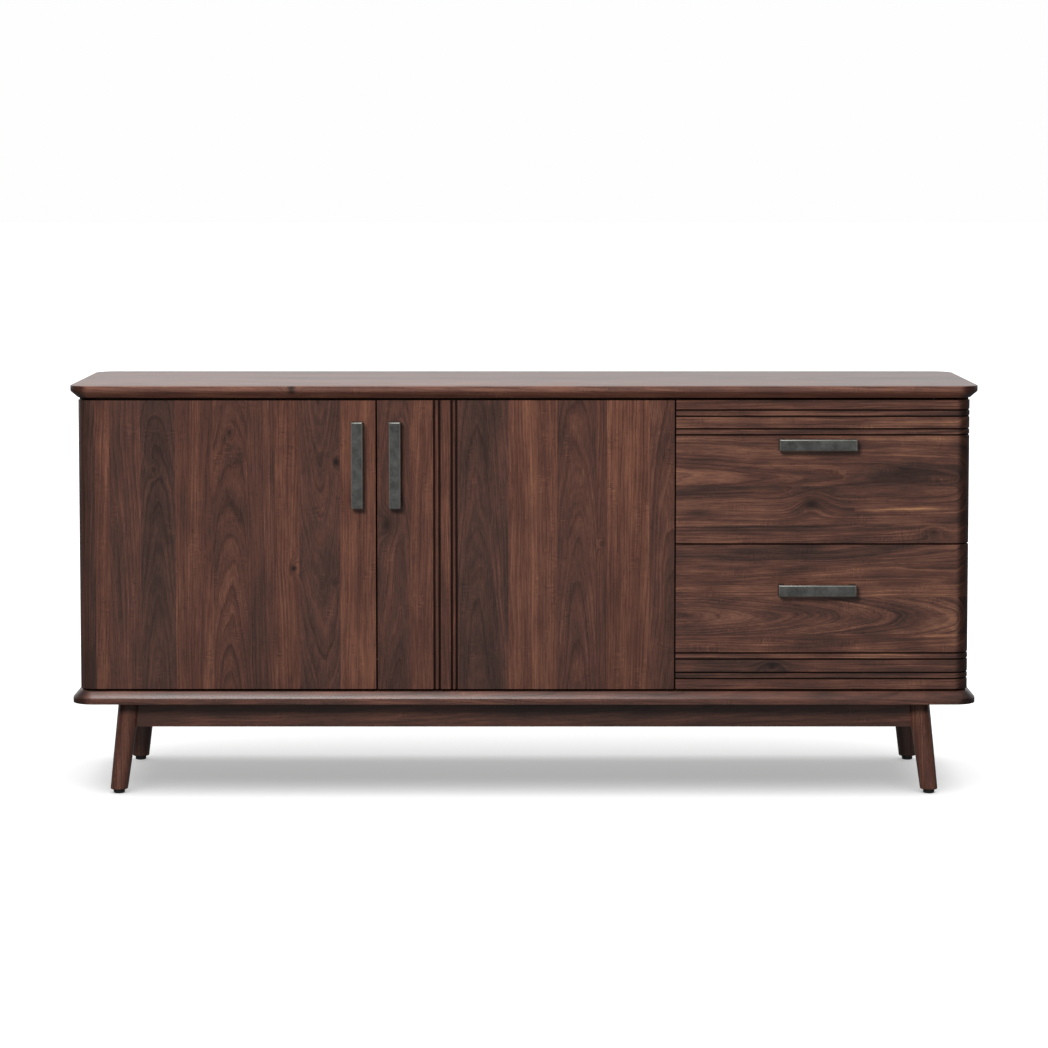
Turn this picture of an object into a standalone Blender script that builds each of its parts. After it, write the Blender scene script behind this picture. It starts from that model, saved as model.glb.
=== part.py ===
"""Sideboard buffet: a cabinet with two pivot-hung doors and two drawers on a splayed-leg plinth.

Units are metres and +Z is up.  +X is to the right as one faces the cabinet, and the doors and
drawers face -Y.  The origin is on the floor, below the middle of the whole object's bounding box.
"""
import math

import bmesh
import bpy
from mathutils import Matrix, Vector

# ---------------------------------------------------------------- overall sizes
WIDTH = 1.798                 # top board and base board, left to right
TOP_DEPTH = 0.450             # top board and base board, front to back
HEIGHT = 0.819                # floor to the top surface
HANDLE_REACH = 0.030          # how far a handle stands off a door or drawer front
FRONT_OVERHANG = 0.017        # top board's front edge, beyond the doors
SIDE_OVERHANG = 0.0155        # top board's end, beyond the side panel
BACK_OVERHANG = 0.017         # top board's back edge, beyond the side panel
GAP = 0.0003                  # between pieces that rest on or touch each other

# ---------------------------------------------------------------- top and base boards
BOARD_THICKNESS = 0.024
BOARD_CORNER = 0.042          # plan radius of the four corners
BOARD_BEVEL_WIDTH = 0.015     # under-bevel of the top board, over-bevel of the base board
BOARD_BEVEL_HEIGHT = 0.013
BASE_UNDERSIDE = 0.186        # height of the base board's lower face

# ---------------------------------------------------------------- carcase
PANEL = 0.022                 # side panels and divider
PANEL_BACK_ROUND = 0.014      # radius of a side panel's outer back edge
BACK_PANEL = 0.006
BACK_PANEL_INSET = 0.007      # from the side panels' back edges
SHELF = 0.020
SHELF_TOP = 0.505
SHELF_FRONT_SETBACK = 0.028   # behind the side panels' front edges
RAIL_HEIGHT = 0.020
RAIL_DEPTH = 0.060
RAIL_CORNER = 0.012           # cut off the top rail's corner where the left door's end turns

# ---------------------------------------------------------------- doors and drawer fronts
FRONT_THICKNESS = 0.022
FRONT_GAP = 0.003             # between the fronts, and behind them
FRONT_TOP_GAP = 0.0046
FRONT_BOTTOM_GAP = 0.0043
DOOR_SPLIT_X = -0.2920        # between the two doors
DRAWER_SPLIT_X = 0.2995       # between the right door and the drawers
DRAWER_SPLIT_Z = 0.5045       # between the two drawers
END_ROUND_WIDTH = 0.032       # quarter-ellipse on the outer front corners
END_ROUND_DEPTH = 0.025
END_BLOCK_DEPTH = 0.038       # thickness of the outer ends, which carry that round
END_BLOCK_WIDTH = 0.0215
END_BLOCK_ROUND = 0.005
DOOR_GROOVE_WIDTH = 0.0044
DRAWER_GROOVE_WIDTH = 0.0032
GROOVE_DEPTH = 0.005
DOOR_GROOVE_X = (-0.1775, -0.1672, -0.1430, -0.1336)
UPPER_GROOVE_DROP = (0.0197, 0.0321, 0.0569, 0.0689)   # below the upper front's top edge
LOWER_GROOVE_RISE = (0.0213, 0.0334, 0.0602, 0.0725)   # above the lower front's bottom edge

# ---------------------------------------------------------------- door pivots
PIVOT_LEFT_INSET = 0.013      # from the left door's outer end, and the radius of its back corner
PIVOT_LEFT_BEHIND = 0.025     # behind the left door's face
PIVOT_RIGHT_INSET = 0.008
PIVOT_RIGHT_BEHIND = 0.006
PIVOT_SHANK_R = 0.0030        # in the door
PIVOT_PIN_R = 0.0025          # in the board
PIVOT_COLLAR_R = 0.0050
PIVOT_COLLAR = 0.0025
PIVOT_SHANK = 0.014
PIVOT_PIN = 0.009
BORE_CLEARANCE = 0.0003

# ---------------------------------------------------------------- handles
HANDLE_LENGTH_DOOR = 0.1715
HANDLE_LENGTH_DRAWER = 0.1535
HANDLE_WIDTH = 0.0230
HANDLE_BAR = 0.010            # thickness of the bar
HANDLE_FOOT = 0.012           # length of each foot along the bar
HANDLE_CHAMFER = 0.0022
DOOR_HANDLE_EDGE = 0.0372     # handle's centre line to the door's meeting edge
DOOR_HANDLE_DROP = 0.1275     # handle's middle, below the door's top edge
DRAWER_HANDLE_X = 0.5796
UPPER_HANDLE_DROP = 0.0873    # handle's middle, below the drawer front's top edge
LOWER_HANDLE_DROP = 0.0887

# ---------------------------------------------------------------- drawers and slides
DRAWER_WALL = 0.012
DRAWER_BOX_HEIGHT = 0.200
DRAWER_BOTTOM = 0.006
DRAWER_BOTTOM_RISE = 0.010    # below the bottom board
BOTTOM_GROOVE = 0.006         # how deep the bottom sits in the side
UPPER_BOX_Z = 0.534
LOWER_BOX_Z = 0.236
SLIDE_LENGTH = 0.350
SLIDE_SPACE = 0.0133          # between the panel and the drawer side
SLIDE_STEEL = 0.0012
SLIDE_SETBACK = 0.002         # behind the side panel's front edge
SLIDE_RISE = 0.070            # slide's middle, above the drawer box's lower edge

# ---------------------------------------------------------------- plinth
LEG_TOP_R = 0.0217
LEG_FOOT_R = 0.0174
LEG_TOP_X = 0.7905            # leg's centre under the base board
LEG_FOOT_X = 0.8115           # leg's centre at the floor
LEG_TOP_Y = 0.0700            # from the board's front (or back) edge
LEG_FOOT_Y = 0.0490
GLIDE_HEIGHT = 0.008
GLIDE_R = 0.0112
APRON_THICKNESS = 0.020
APRON_HEIGHT = 0.0545
LEG_SIDES = 32

SHARP_ANGLE = math.radians(35.0)

# ---------------------------------------------------------------- derived positions
TOP_FRONT_Y = -(TOP_DEPTH + HANDLE_REACH - FRONT_OVERHANG) / 2 + HANDLE_REACH - FRONT_OVERHANG
TOP_BACK_Y = TOP_FRONT_Y + TOP_DEPTH
FACE_Y = TOP_FRONT_Y + FRONT_OVERHANG
FRONT_BACK_Y = FACE_Y + FRONT_THICKNESS
PANEL_FRONT_Y = FRONT_BACK_Y + FRONT_GAP
END_BLOCK_BACK_Y = FACE_Y + END_BLOCK_DEPTH
SIDE_FRONT_Y = END_BLOCK_BACK_Y + FRONT_GAP
PANEL_BACK_Y = TOP_BACK_Y - BACK_OVERHANG
BACK_OUTER_Y = PANEL_BACK_Y - BACK_PANEL_INSET
BACK_INNER_Y = BACK_OUTER_Y - BACK_PANEL
END_X = WIDTH / 2 - SIDE_OVERHANG
TOP_UNDERSIDE = HEIGHT - BOARD_THICKNESS
BASE_TOP = BASE_UNDERSIDE + BOARD_THICKNESS
FRONT_TOP = TOP_UNDERSIDE - FRONT_TOP_GAP
FRONT_BOTTOM = BASE_TOP + FRONT_BOTTOM_GAP
PANEL_BOTTOM = BASE_TOP + GAP
PANEL_TOP = TOP_UNDERSIDE - GAP
INNER_X = END_X - PANEL
DIVIDER_LEFT = DRAWER_SPLIT_X - PANEL / 2
DIVIDER_RIGHT = DRAWER_SPLIT_X + PANEL / 2
UPPER_FRONT_BOTTOM = DRAWER_SPLIT_Z + FRONT_GAP / 2
LOWER_FRONT_TOP = DRAWER_SPLIT_Z - FRONT_GAP / 2
SLIDE_FRONT_Y = SIDE_FRONT_Y + SLIDE_SETBACK
DRAWER_FRONT_Y = FRONT_BACK_Y + GAP
DRAWER_BACK_Y = DRAWER_FRONT_Y + SLIDE_LENGTH

# name: (red, green, blue, roughness, metallic)
FINISHES = {
    "walnut_dark": (0.075, 0.036, 0.026, 0.42, 0.0),
    "walnut_red": (0.100, 0.042, 0.029, 0.42, 0.0),
    "walnut_inside": (0.150, 0.085, 0.055, 0.55, 0.0),
    "plywood": (0.200, 0.120, 0.080, 0.60, 0.0),
    "pewter": (0.080, 0.085, 0.080, 0.45, 1.0),
    "zinc_steel": (0.450, 0.460, 0.470, 0.35, 1.0),
    "black_plastic": (0.010, 0.010, 0.010, 0.50, 0.0),
}

for old_object in list(bpy.data.objects):
    bpy.data.objects.remove(old_object, do_unlink=True)


def new_collection(name):
    collection = bpy.data.collections.new(name)
    bpy.context.scene.collection.children.link(collection)
    return collection


PARTS = new_collection("sideboard_buffet")
CUTTERS = new_collection("cutters")


def make_material(name):
    red, green, blue, roughness, metallic = FINISHES[name]
    material = bpy.data.materials.new(name)
    material.use_nodes = True
    shader = material.node_tree.nodes["Principled BSDF"]
    shader.inputs["Base Color"].default_value = (red, green, blue, 1.0)
    shader.inputs["Roughness"].default_value = roughness
    shader.inputs["Metallic"].default_value = metallic
    material.diffuse_color = (red, green, blue, 1.0)
    return material


MATERIALS = {name: make_material(name) for name in FINISHES}


# ---------------------------------------------------------------- shape helpers
def add_object(name, mesh, finish, parent=None):
    """Links a mesh as one named piece with its own finish."""
    piece = bpy.data.objects.new(name, mesh)
    PARTS.objects.link(piece)
    mesh.materials.append(MATERIALS[finish])
    if parent is not None:
        piece.parent = parent
        piece.matrix_parent_inverse = Matrix.Translation(parent.location).inverted()
    return piece


def add_cutter(name, mesh):
    cutter = bpy.data.objects.new(name, mesh)
    CUTTERS.objects.link(cutter)
    cutter.hide_render = True
    cutter.display_type = "WIRE"
    return cutter


def add_pivot_empty(name, location):
    """An empty on a joint's axis, which the moving pieces hang from."""
    empty = bpy.data.objects.new(name, None)
    PARTS.objects.link(empty)
    empty.location = location
    empty.empty_display_size = 0.05
    return empty


def mesh_from(name, build):
    """Makes a mesh from a function that fills a bmesh."""
    bm = bmesh.new()
    build(bm)
    bmesh.ops.recalc_face_normals(bm, faces=bm.faces)
    mesh = bpy.data.meshes.new(name)
    bm.to_mesh(mesh)
    bm.free()
    return mesh


def box_mesh(name, size):
    def build(bm):
        bmesh.ops.create_cube(bm, size=1.0)
        bmesh.ops.scale(bm, vec=Vector(size), verts=bm.verts)
    return mesh_from(name, build)


def add_box(name, low, high, finish, parent=None):
    low = Vector(low)
    high = Vector(high)
    piece = add_object(name, box_mesh(name, high - low), finish, parent)
    piece.location = (low + high) / 2
    return piece


def round_mesh(name, radius, length, sides):
    """A cylinder along Z, centred on its own origin."""
    def build(bm):
        bmesh.ops.create_cone(bm, cap_ends=True, segments=sides, radius1=radius,
                              radius2=radius, depth=length)
    return mesh_from(name, build)


def arc_points(centre, radius_x, radius_y, start, end, steps):
    """Points along a stretch of an ellipse; angles in degrees."""
    points = []
    for step in range(steps + 1):
        angle = math.radians(start + (end - start) * step / steps)
        points.append((centre[0] + radius_x * math.cos(angle), centre[1] + radius_y * math.sin(angle)))
    return points


def plate_mesh(name, outline, thickness):
    """A flat outline in local X and Y, thick along local Z, as a closed mesh."""
    curve = bpy.data.curves.new(name + "_outline", "CURVE")
    curve.dimensions = "2D"
    curve.fill_mode = "BOTH"
    curve.extrude = thickness / 2
    spline = curve.splines.new("POLY")
    spline.points.add(len(outline) - 1)
    for point, (across, along) in zip(spline.points, outline):
        point.co = (across, along, 0.0, 1.0)
    spline.use_cyclic_u = True
    guide = bpy.data.objects.new(name + "_guide", curve)
    CUTTERS.objects.link(guide)
    bpy.context.view_layer.update()
    evaluated = guide.evaluated_get(bpy.context.evaluated_depsgraph_get())
    mesh = bpy.data.meshes.new_from_object(evaluated)
    bpy.data.objects.remove(guide, do_unlink=True)
    mesh.materials.clear()
    mesh.name = name
    bm = bmesh.new()
    bm.from_mesh(mesh)
    bmesh.ops.remove_doubles(bm, verts=bm.verts, dist=1e-6)
    caps = [face for face in bm.faces if len({round(v.co.z, 6) for v in face.verts}) == 1]
    bmesh.ops.delete(bm, geom=caps, context="FACES")
    bmesh.ops.holes_fill(bm, edges=bm.edges)
    bmesh.ops.recalc_face_normals(bm, faces=bm.faces)
    bm.to_mesh(mesh)
    bm.free()
    return mesh


FACING_UP = (0.0, 0.0, 0.0)                           # outline in X, Y; thick along Z
FACING_FRONT = (math.pi / 2, 0.0, 0.0)                # outline in X, Z; thick along Y


def add_plate(name, outline, thickness, facing, location, finish, parent=None):
    piece = add_object(name, plate_mesh(name, outline, thickness), finish, parent)
    piece.rotation_euler = facing
    piece.location = location
    return piece


def add_turned(name, profile, location, axis_rotation, finish, parent=None, steps=16):
    """A turned piece: (radius, height) points from top to bottom, spun about Z."""
    mesh = bpy.data.meshes.new(name)
    points = [(radius, 0.0, height) for radius, height in profile]
    edges = [(index, index + 1) for index in range(len(points) - 1)]
    mesh.from_pydata(points, edges, [])
    piece = add_object(name, mesh, finish, parent)
    piece.location = location
    piece.rotation_euler = axis_rotation
    screw = piece.modifiers.new("turn", "SCREW")
    screw.axis = "Z"
    screw.steps = steps
    screw.render_steps = steps
    screw.use_smooth_shade = True
    screw.use_merge_vertices = True
    screw.merge_threshold = 0.00001
    return piece


def smooth_round(mesh):
    """Shades the round faces smooth and keeps the corners crisp."""
    mesh.shade_smooth()
    mesh.set_sharp_from_angle(angle=SHARP_ANGLE)


def cut(piece, cutter):
    boolean = piece.modifiers.new("cut_" + cutter.name, "BOOLEAN")
    boolean.operation = "DIFFERENCE"
    boolean.solver = "EXACT"
    boolean.object = cutter


def drill(piece, name, location, radius, depth, axis_rotation=(0.0, 0.0, 0.0), sides=16):
    """Cuts a blind round hole whose middle is at the surface, depth deep to each side."""
    cutter = add_cutter(name, round_mesh(name, radius, depth * 2, sides))
    cutter.location = location
    cutter.rotation_euler = axis_rotation
    cut(piece, cutter)


# ---------------------------------------------------------------- top and base boards
def edge_board_mesh(name, chamfer_upper_side):
    """A board with round corners and one bevelled face."""
    def build(bm):
        bmesh.ops.create_cube(bm, size=1.0)
        bmesh.ops.scale(bm, vec=(WIDTH, TOP_DEPTH, BOARD_THICKNESS), verts=bm.verts)
        upright = [edge for edge in bm.edges if abs(edge.verts[0].co.z - edge.verts[1].co.z) > 0.001]
        bmesh.ops.bevel(bm, geom=upright, offset=BOARD_CORNER, offset_type="OFFSET", segments=8,
                        profile=0.5, affect="EDGES")
        side = 1.0 if chamfer_upper_side else -1.0
        face_height = side * BOARD_THICKNESS / 2
        rim = [edge for edge in bm.edges if all(abs(v.co.z - face_height) < 1e-6 for v in edge.verts)]
        bmesh.ops.bevel(bm, geom=rim, offset=BOARD_BEVEL_WIDTH, offset_type="OFFSET", segments=1,
                        profile=0.5, affect="EDGES")
        for vertex in bm.verts:
            if abs(vertex.co.z - face_height + side * BOARD_BEVEL_WIDTH) < 1e-6:
                vertex.co.z = face_height - side * BOARD_BEVEL_HEIGHT
    return mesh_from(name, build)


def add_boards():
    middle_y = (TOP_FRONT_Y + TOP_BACK_Y) / 2
    top = add_object("top_board", edge_board_mesh("top_board", False), "walnut_dark")
    top.location = (0.0, middle_y, HEIGHT - BOARD_THICKNESS / 2)
    base = add_object("base_board", edge_board_mesh("base_board", True), "walnut_dark")
    base.location = (0.0, middle_y, BASE_UNDERSIDE + BOARD_THICKNESS / 2)
    for side, (pivot_x, pivot_y) in PIVOTS.items():
        radius = PIVOT_PIN_R + BORE_CLEARANCE
        depth = PIVOT_PIN + 0.001
        drill(top, f"bore_top_{side}", (pivot_x, pivot_y, TOP_UNDERSIDE), radius, depth)
        drill(base, f"bore_base_{side}", (pivot_x, pivot_y, BASE_TOP), radius, depth)


# ---------------------------------------------------------------- carcase
def side_panel_outline(sign):
    """Plan of a side panel; sign is -1 for the left one and +1 for the right one."""
    outer = sign * END_X
    inner = sign * INNER_X
    centre = (sign * (END_X - PANEL_BACK_ROUND), PANEL_BACK_Y - PANEL_BACK_ROUND)
    first = 0.0 if sign > 0 else 180.0
    back_round = arc_points(centre, PANEL_BACK_ROUND, PANEL_BACK_ROUND, first, 90.0, 6)
    return [(inner, SIDE_FRONT_Y), (outer, SIDE_FRONT_Y)] + back_round + [(inner, PANEL_BACK_Y)]


def add_side_panel(side, sign):
    middle = (0.0, 0.0, (PANEL_BOTTOM + PANEL_TOP) / 2)
    return add_plate(f"side_panel_{side}", side_panel_outline(sign), PANEL_TOP - PANEL_BOTTOM,
                     FACING_UP, middle, "walnut_dark")


def top_rail_outline():
    """Plan of the top rail, with the corner by the left door's thick end cut off."""
    left = -INNER_X + GAP
    right = DIVIDER_LEFT - GAP
    back = PANEL_FRONT_Y + RAIL_DEPTH
    return [(left + RAIL_CORNER, PANEL_FRONT_Y), (right, PANEL_FRONT_Y), (right, back), (left, back),
            (left, PANEL_FRONT_Y + RAIL_CORNER)]


def add_carcase():
    left = add_side_panel("left", -1.0)
    add_side_panel("right", 1.0)
    divider = add_box("divider_panel", (DIVIDER_LEFT, PANEL_FRONT_Y, PANEL_BOTTOM),
                      (DIVIDER_RIGHT, PANEL_BACK_Y, PANEL_TOP), "walnut_inside")
    add_box("back_panel_left", (-INNER_X + GAP, BACK_INNER_Y, PANEL_BOTTOM),
            (DIVIDER_LEFT - GAP, BACK_OUTER_Y, PANEL_TOP), "plywood")
    add_box("back_panel_right", (DIVIDER_RIGHT + GAP, BACK_INNER_Y, PANEL_BOTTOM),
            (INNER_X - GAP, BACK_OUTER_Y, PANEL_TOP), "plywood")
    add_plate("top_rail", top_rail_outline(), RAIL_HEIGHT, FACING_UP,
              (0.0, 0.0, PANEL_TOP - RAIL_HEIGHT / 2), "walnut_inside")
    add_box("drawer_rail", (DIVIDER_RIGHT + GAP, PANEL_FRONT_Y, DRAWER_SPLIT_Z - RAIL_HEIGHT / 2),
            (INNER_X - GAP, PANEL_FRONT_Y + RAIL_DEPTH, DRAWER_SPLIT_Z + RAIL_HEIGHT / 2),
            "walnut_inside")
    add_shelf(left, divider)


def add_shelf(left, divider):
    """One adjustable shelf on four pins, two in the side panel and two in the divider."""
    side_gap = 0.002
    front_y = PANEL_FRONT_Y + SHELF_FRONT_SETBACK
    back_y = BACK_INNER_Y - side_gap
    add_box("shelf", (-INNER_X + side_gap, front_y, SHELF_TOP - SHELF),
            (DIVIDER_LEFT - side_gap, back_y, SHELF_TOP), "walnut_inside")
    pin_r = 0.0025
    pin_buried = 0.010
    pin_out = 0.011
    collar_r = 0.0040
    collar = 0.0010
    pin_z = SHELF_TOP - SHELF - GAP - pin_r
    pin_profile = [(0.0, pin_out), (pin_r, pin_out), (pin_r, collar + GAP), (collar_r, collar + GAP),
                   (collar_r, GAP), (pin_r, GAP), (pin_r, -pin_buried), (0.0, -pin_buried)]
    number = 0
    for panel, face_x, turn in ((left, -INNER_X, math.pi / 2), (divider, DIVIDER_LEFT, -math.pi / 2)):
        for pin_y in (front_y + 0.040, back_y - 0.040):
            number += 1
            rotation = (0.0, turn, 0.0)
            name = f"shelf_pin_{number}"
            add_turned(name, pin_profile, (face_x, pin_y, pin_z), rotation, "zinc_steel", steps=12)
            drill(panel, f"bore_{name}", (face_x, pin_y, pin_z), pin_r + BORE_CLEARANCE,
                  pin_buried + 0.001, rotation, sides=12)


# ---------------------------------------------------------------- doors
PIVOTS = {
    "left": (-END_X + PIVOT_LEFT_INSET, FACE_Y + PIVOT_LEFT_BEHIND),
    "right": (DRAWER_SPLIT_X - FRONT_GAP / 2 - PIVOT_RIGHT_INSET, FACE_Y + PIVOT_RIGHT_BEHIND),
}


def left_door_outline():
    """Plan of the left door, about its pivot: a thick round end that can turn beside the panel."""
    pivot_x, pivot_y = PIVOTS["left"]
    inner = DOOR_SPLIT_X - FRONT_GAP / 2 - pivot_x
    face = FACE_Y - pivot_y
    back = FRONT_BACK_Y - pivot_y
    outer = -PIVOT_LEFT_INSET
    block_inner = outer + END_BLOCK_WIDTH
    block_back = END_BLOCK_BACK_Y - pivot_y
    block_round = arc_points((block_inner - END_BLOCK_ROUND, block_back - END_BLOCK_ROUND),
                             END_BLOCK_ROUND, END_BLOCK_ROUND, 0.0, 90.0, 6)
    back_round = arc_points((0.0, 0.0), PIVOT_LEFT_INSET, PIVOT_LEFT_INSET, 90.0, 180.0, 10)
    front_round = arc_points((outer + END_ROUND_WIDTH, face + END_ROUND_DEPTH), END_ROUND_WIDTH,
                             END_ROUND_DEPTH, 180.0, 270.0, 12)
    return [(inner, face), (inner, back), (block_inner, back)] + block_round + back_round[:-1] + front_round


def right_door_outline():
    """Plan of the right door, about its pivot, with its four grooves."""
    pivot_x, pivot_y = PIVOTS["right"]
    left = DOOR_SPLIT_X + FRONT_GAP / 2 - pivot_x
    right = PIVOT_RIGHT_INSET
    face = FACE_Y - pivot_y
    back = FRONT_BACK_Y - pivot_y
    outline = [(left, back), (left, face)]
    for centre in DOOR_GROOVE_X:
        low = centre - DOOR_GROOVE_WIDTH / 2 - pivot_x
        high = centre + DOOR_GROOVE_WIDTH / 2 - pivot_x
        outline += [(low, face), (low, face + GROOVE_DEPTH), (high, face + GROOVE_DEPTH), (high, face)]
    outline += [(right, face), (right, back)]
    return outline


def add_door(side, outline, handle_x):
    pivot_x, pivot_y = PIVOTS[side]
    pivot = add_pivot_empty(f"door_{side}_axis", (pivot_x, pivot_y, FRONT_BOTTOM))
    middle_z = (FRONT_TOP + FRONT_BOTTOM) / 2
    door = add_plate(f"door_{side}", outline, FRONT_TOP - FRONT_BOTTOM, FACING_UP,
                     (pivot_x, pivot_y, middle_z), "walnut_red", pivot)
    for level, edge_z in (("top", FRONT_TOP), ("bottom", FRONT_BOTTOM)):
        drill(door, f"bore_door_{side}_{level}", (pivot_x, pivot_y, edge_z),
              PIVOT_SHANK_R + BORE_CLEARANCE, PIVOT_SHANK + 0.001)
        add_pivot_pin(f"pivot_{side}_{level}", (pivot_x, pivot_y, edge_z), level == "bottom", pivot)
    handle_z = FRONT_TOP - DOOR_HANDLE_DROP
    add_handle(f"handle_door_{side}", HANDLE_LENGTH_DOOR, (handle_x, handle_z), True, pivot)


def add_pivot_pin(name, location, upside_down, parent):
    """A stepped steel pin: its shank in the door, its collar in the gap, its tip in the board."""
    tip = (FRONT_TOP_GAP if not upside_down else FRONT_BOTTOM_GAP) + PIVOT_PIN
    collar_top = PIVOT_COLLAR + GAP
    profile = [(0.0, tip), (PIVOT_PIN_R, tip), (PIVOT_PIN_R, collar_top), (PIVOT_COLLAR_R, collar_top),
               (PIVOT_COLLAR_R, GAP), (PIVOT_SHANK_R, GAP), (PIVOT_SHANK_R, -PIVOT_SHANK),
               (0.0, -PIVOT_SHANK)]
    rotation = (math.pi, 0.0, 0.0) if upside_down else (0.0, 0.0, 0.0)
    add_turned(name, profile, location, rotation, "zinc_steel", parent)


# ---------------------------------------------------------------- handles
def handle_mesh(name, length, upright):
    """A flat bar on two feet flush with its ends; local +Y runs into the door."""
    half = length / 2
    inner = half - HANDLE_FOOT
    depth = HANDLE_REACH - GAP
    outline = [(-half, 0.0), (half, 0.0), (half, depth), (inner, depth), (inner, HANDLE_BAR),
               (-inner, HANDLE_BAR), (-inner, depth), (-half, depth)]
    mesh = plate_mesh(name, outline, HANDLE_WIDTH)
    bm = bmesh.new()
    bm.from_mesh(mesh)
    rim = [edge for edge in bm.edges if all(abs(v.co.y) < 1e-6 for v in edge.verts)]
    bmesh.ops.bevel(bm, geom=rim, offset=HANDLE_CHAMFER, offset_type="OFFSET", segments=1, profile=0.5,
                    affect="EDGES")
    if upright:
        bmesh.ops.rotate(bm, verts=bm.verts, cent=(0, 0, 0), matrix=Matrix.Rotation(math.pi / 2, 3, "Y"))
    bm.to_mesh(mesh)
    bm.free()
    return mesh


def add_handle(name, length, middle, upright, parent):
    handle = add_object(name, handle_mesh(name, length, upright), "pewter", parent)
    handle.location = (middle[0], FACE_Y - HANDLE_REACH, middle[1])


# ---------------------------------------------------------------- drawers
def drawer_front_plan(inset):
    """Plan of a drawer front; inset is how far its face and outer end are cut back."""
    left = DRAWER_SPLIT_X + FRONT_GAP / 2
    centre = (END_X - END_ROUND_WIDTH, FACE_Y + END_ROUND_DEPTH)
    corner = arc_points(centre, END_ROUND_WIDTH - inset, END_ROUND_DEPTH - inset, 270.0, 360.0, 12)
    block_inner = END_X - END_BLOCK_WIDTH
    return [(left, FRONT_BACK_Y), (left, FACE_Y + inset)] + corner + [
        (END_X - inset, END_BLOCK_BACK_Y), (block_inner, END_BLOCK_BACK_Y), (block_inner, FRONT_BACK_Y)]


def drawer_front_mesh(name, bottom, top, grooves):
    """A front built up from its plan at each height, stepping inwards at every groove."""
    levels = [(bottom, 0.0)]
    for groove in sorted(grooves):
        low = groove - DRAWER_GROOVE_WIDTH / 2
        high = groove + DRAWER_GROOVE_WIDTH / 2
        levels += [(low, 0.0), (low, GROOVE_DEPTH), (high, GROOVE_DEPTH), (high, 0.0)]
    levels.append((top, 0.0))

    def build(bm):
        plan = drawer_front_plan(0.0)
        floor = bm.faces.new([bm.verts.new((across, along, 0.0)) for across, along in plan])
        lid = floor
        for height, inset in levels[1:]:
            raised = bmesh.ops.extrude_face_region(bm, geom=[lid])
            if lid is not floor:
                bmesh.ops.delete(bm, geom=[lid], context="FACES_ONLY")
            lid = next(item for item in raised["geom"] if isinstance(item, bmesh.types.BMFace))
            new_plan = drawer_front_plan(inset)
            for vertex in lid.verts:
                corner = min(range(len(plan)), key=lambda index: math.dist(plan[index], vertex.co.xy))
                vertex.co = (*new_plan[corner], height - bottom)
            plan = new_plan
    return mesh_from(name, build)


def drawer_side_outline(facing):
    """Cross-section of a drawer side, with the groove for the bottom on its inner face."""
    outer = -facing * DRAWER_WALL / 2
    inner = facing * DRAWER_WALL / 2
    groove = inner - facing * BOTTOM_GROOVE
    low = DRAWER_BOTTOM_RISE
    high = low + DRAWER_BOTTOM + 2 * GAP
    return [(outer, 0.0), (inner, 0.0), (inner, low), (groove, low), (groove, high), (inner, high),
            (inner, DRAWER_BOX_HEIGHT), (outer, DRAWER_BOX_HEIGHT)]


def add_drawer(level, bottom, top, grooves, box_z, handle_drop):
    axis = add_pivot_empty(f"drawer_{level}_axis", ((DIVIDER_RIGHT + INNER_X) / 2, FACE_Y, box_z))
    name = f"drawer_{level}"
    front = add_object(f"{name}_front", drawer_front_mesh(f"{name}_front", bottom, top, grooves),
                       "walnut_red", axis)
    front.location = (0.0, 0.0, bottom)
    left = DIVIDER_RIGHT + SLIDE_SPACE
    right = INNER_X - SLIDE_SPACE
    middle_y = (DRAWER_FRONT_Y + DRAWER_BACK_Y) / 2
    half_wall = DRAWER_WALL / 2
    for side, centre, facing in (("left", left + half_wall, 1.0), ("right", right - half_wall, -1.0)):
        add_plate(f"{name}_side_{side}", drawer_side_outline(facing), SLIDE_LENGTH, FACING_FRONT,
                  (centre, middle_y, box_z), "walnut_inside", axis)
    inner_left = left + DRAWER_WALL
    inner_right = right - DRAWER_WALL
    bottom_z = box_z + DRAWER_BOTTOM_RISE + GAP
    buried = BOTTOM_GROOVE - GAP
    add_box(f"{name}_bottom", (inner_left - buried, DRAWER_FRONT_Y, bottom_z),
            (inner_right + buried, DRAWER_BACK_Y, bottom_z + DRAWER_BOTTOM), "plywood", axis)
    add_box(f"{name}_back", (inner_left + GAP, DRAWER_BACK_Y - DRAWER_WALL, bottom_z + DRAWER_BOTTOM + GAP),
            (inner_right - GAP, DRAWER_BACK_Y, box_z + DRAWER_BOX_HEIGHT), "walnut_inside", axis)
    add_handle(f"handle_drawer_{level}", HANDLE_LENGTH_DRAWER, (DRAWER_HANDLE_X, top - handle_drop),
               False, axis)
    add_slides(level, box_z + SLIDE_RISE, axis)


# ---------------------------------------------------------------- telescopic slides
def channel_outline(web, tip, half_height, lip):
    """A channel's cross-section: its web at `web`, its flanges reaching towards `tip`."""
    toward = 1.0 if tip > web else -1.0
    inner = web + toward * SLIDE_STEEL
    edge = half_height - SLIDE_STEEL
    upper = [(web, half_height), (tip, half_height)]
    if lip > 0.0:
        upper += [(tip, edge - lip), (tip - toward * SLIDE_STEEL, edge - lip),
                  (tip - toward * SLIDE_STEEL, edge)]
    else:
        upper += [(tip, edge)]
    upper += [(inner, edge)]
    lower = [(across, -height) for across, height in reversed(upper)]
    return upper + lower


# member: (web, flange tip, half height, lip) across the slide, from the panel's face
SLIDE_MEMBERS = {
    "cabinet": (0.0003, 0.0103, 0.02285, 0.0013),
    "middle": (0.0022, 0.0112, 0.0189, 0.0),
    "drawer": (0.0130, 0.0052, 0.0159, 0.0),
}


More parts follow.
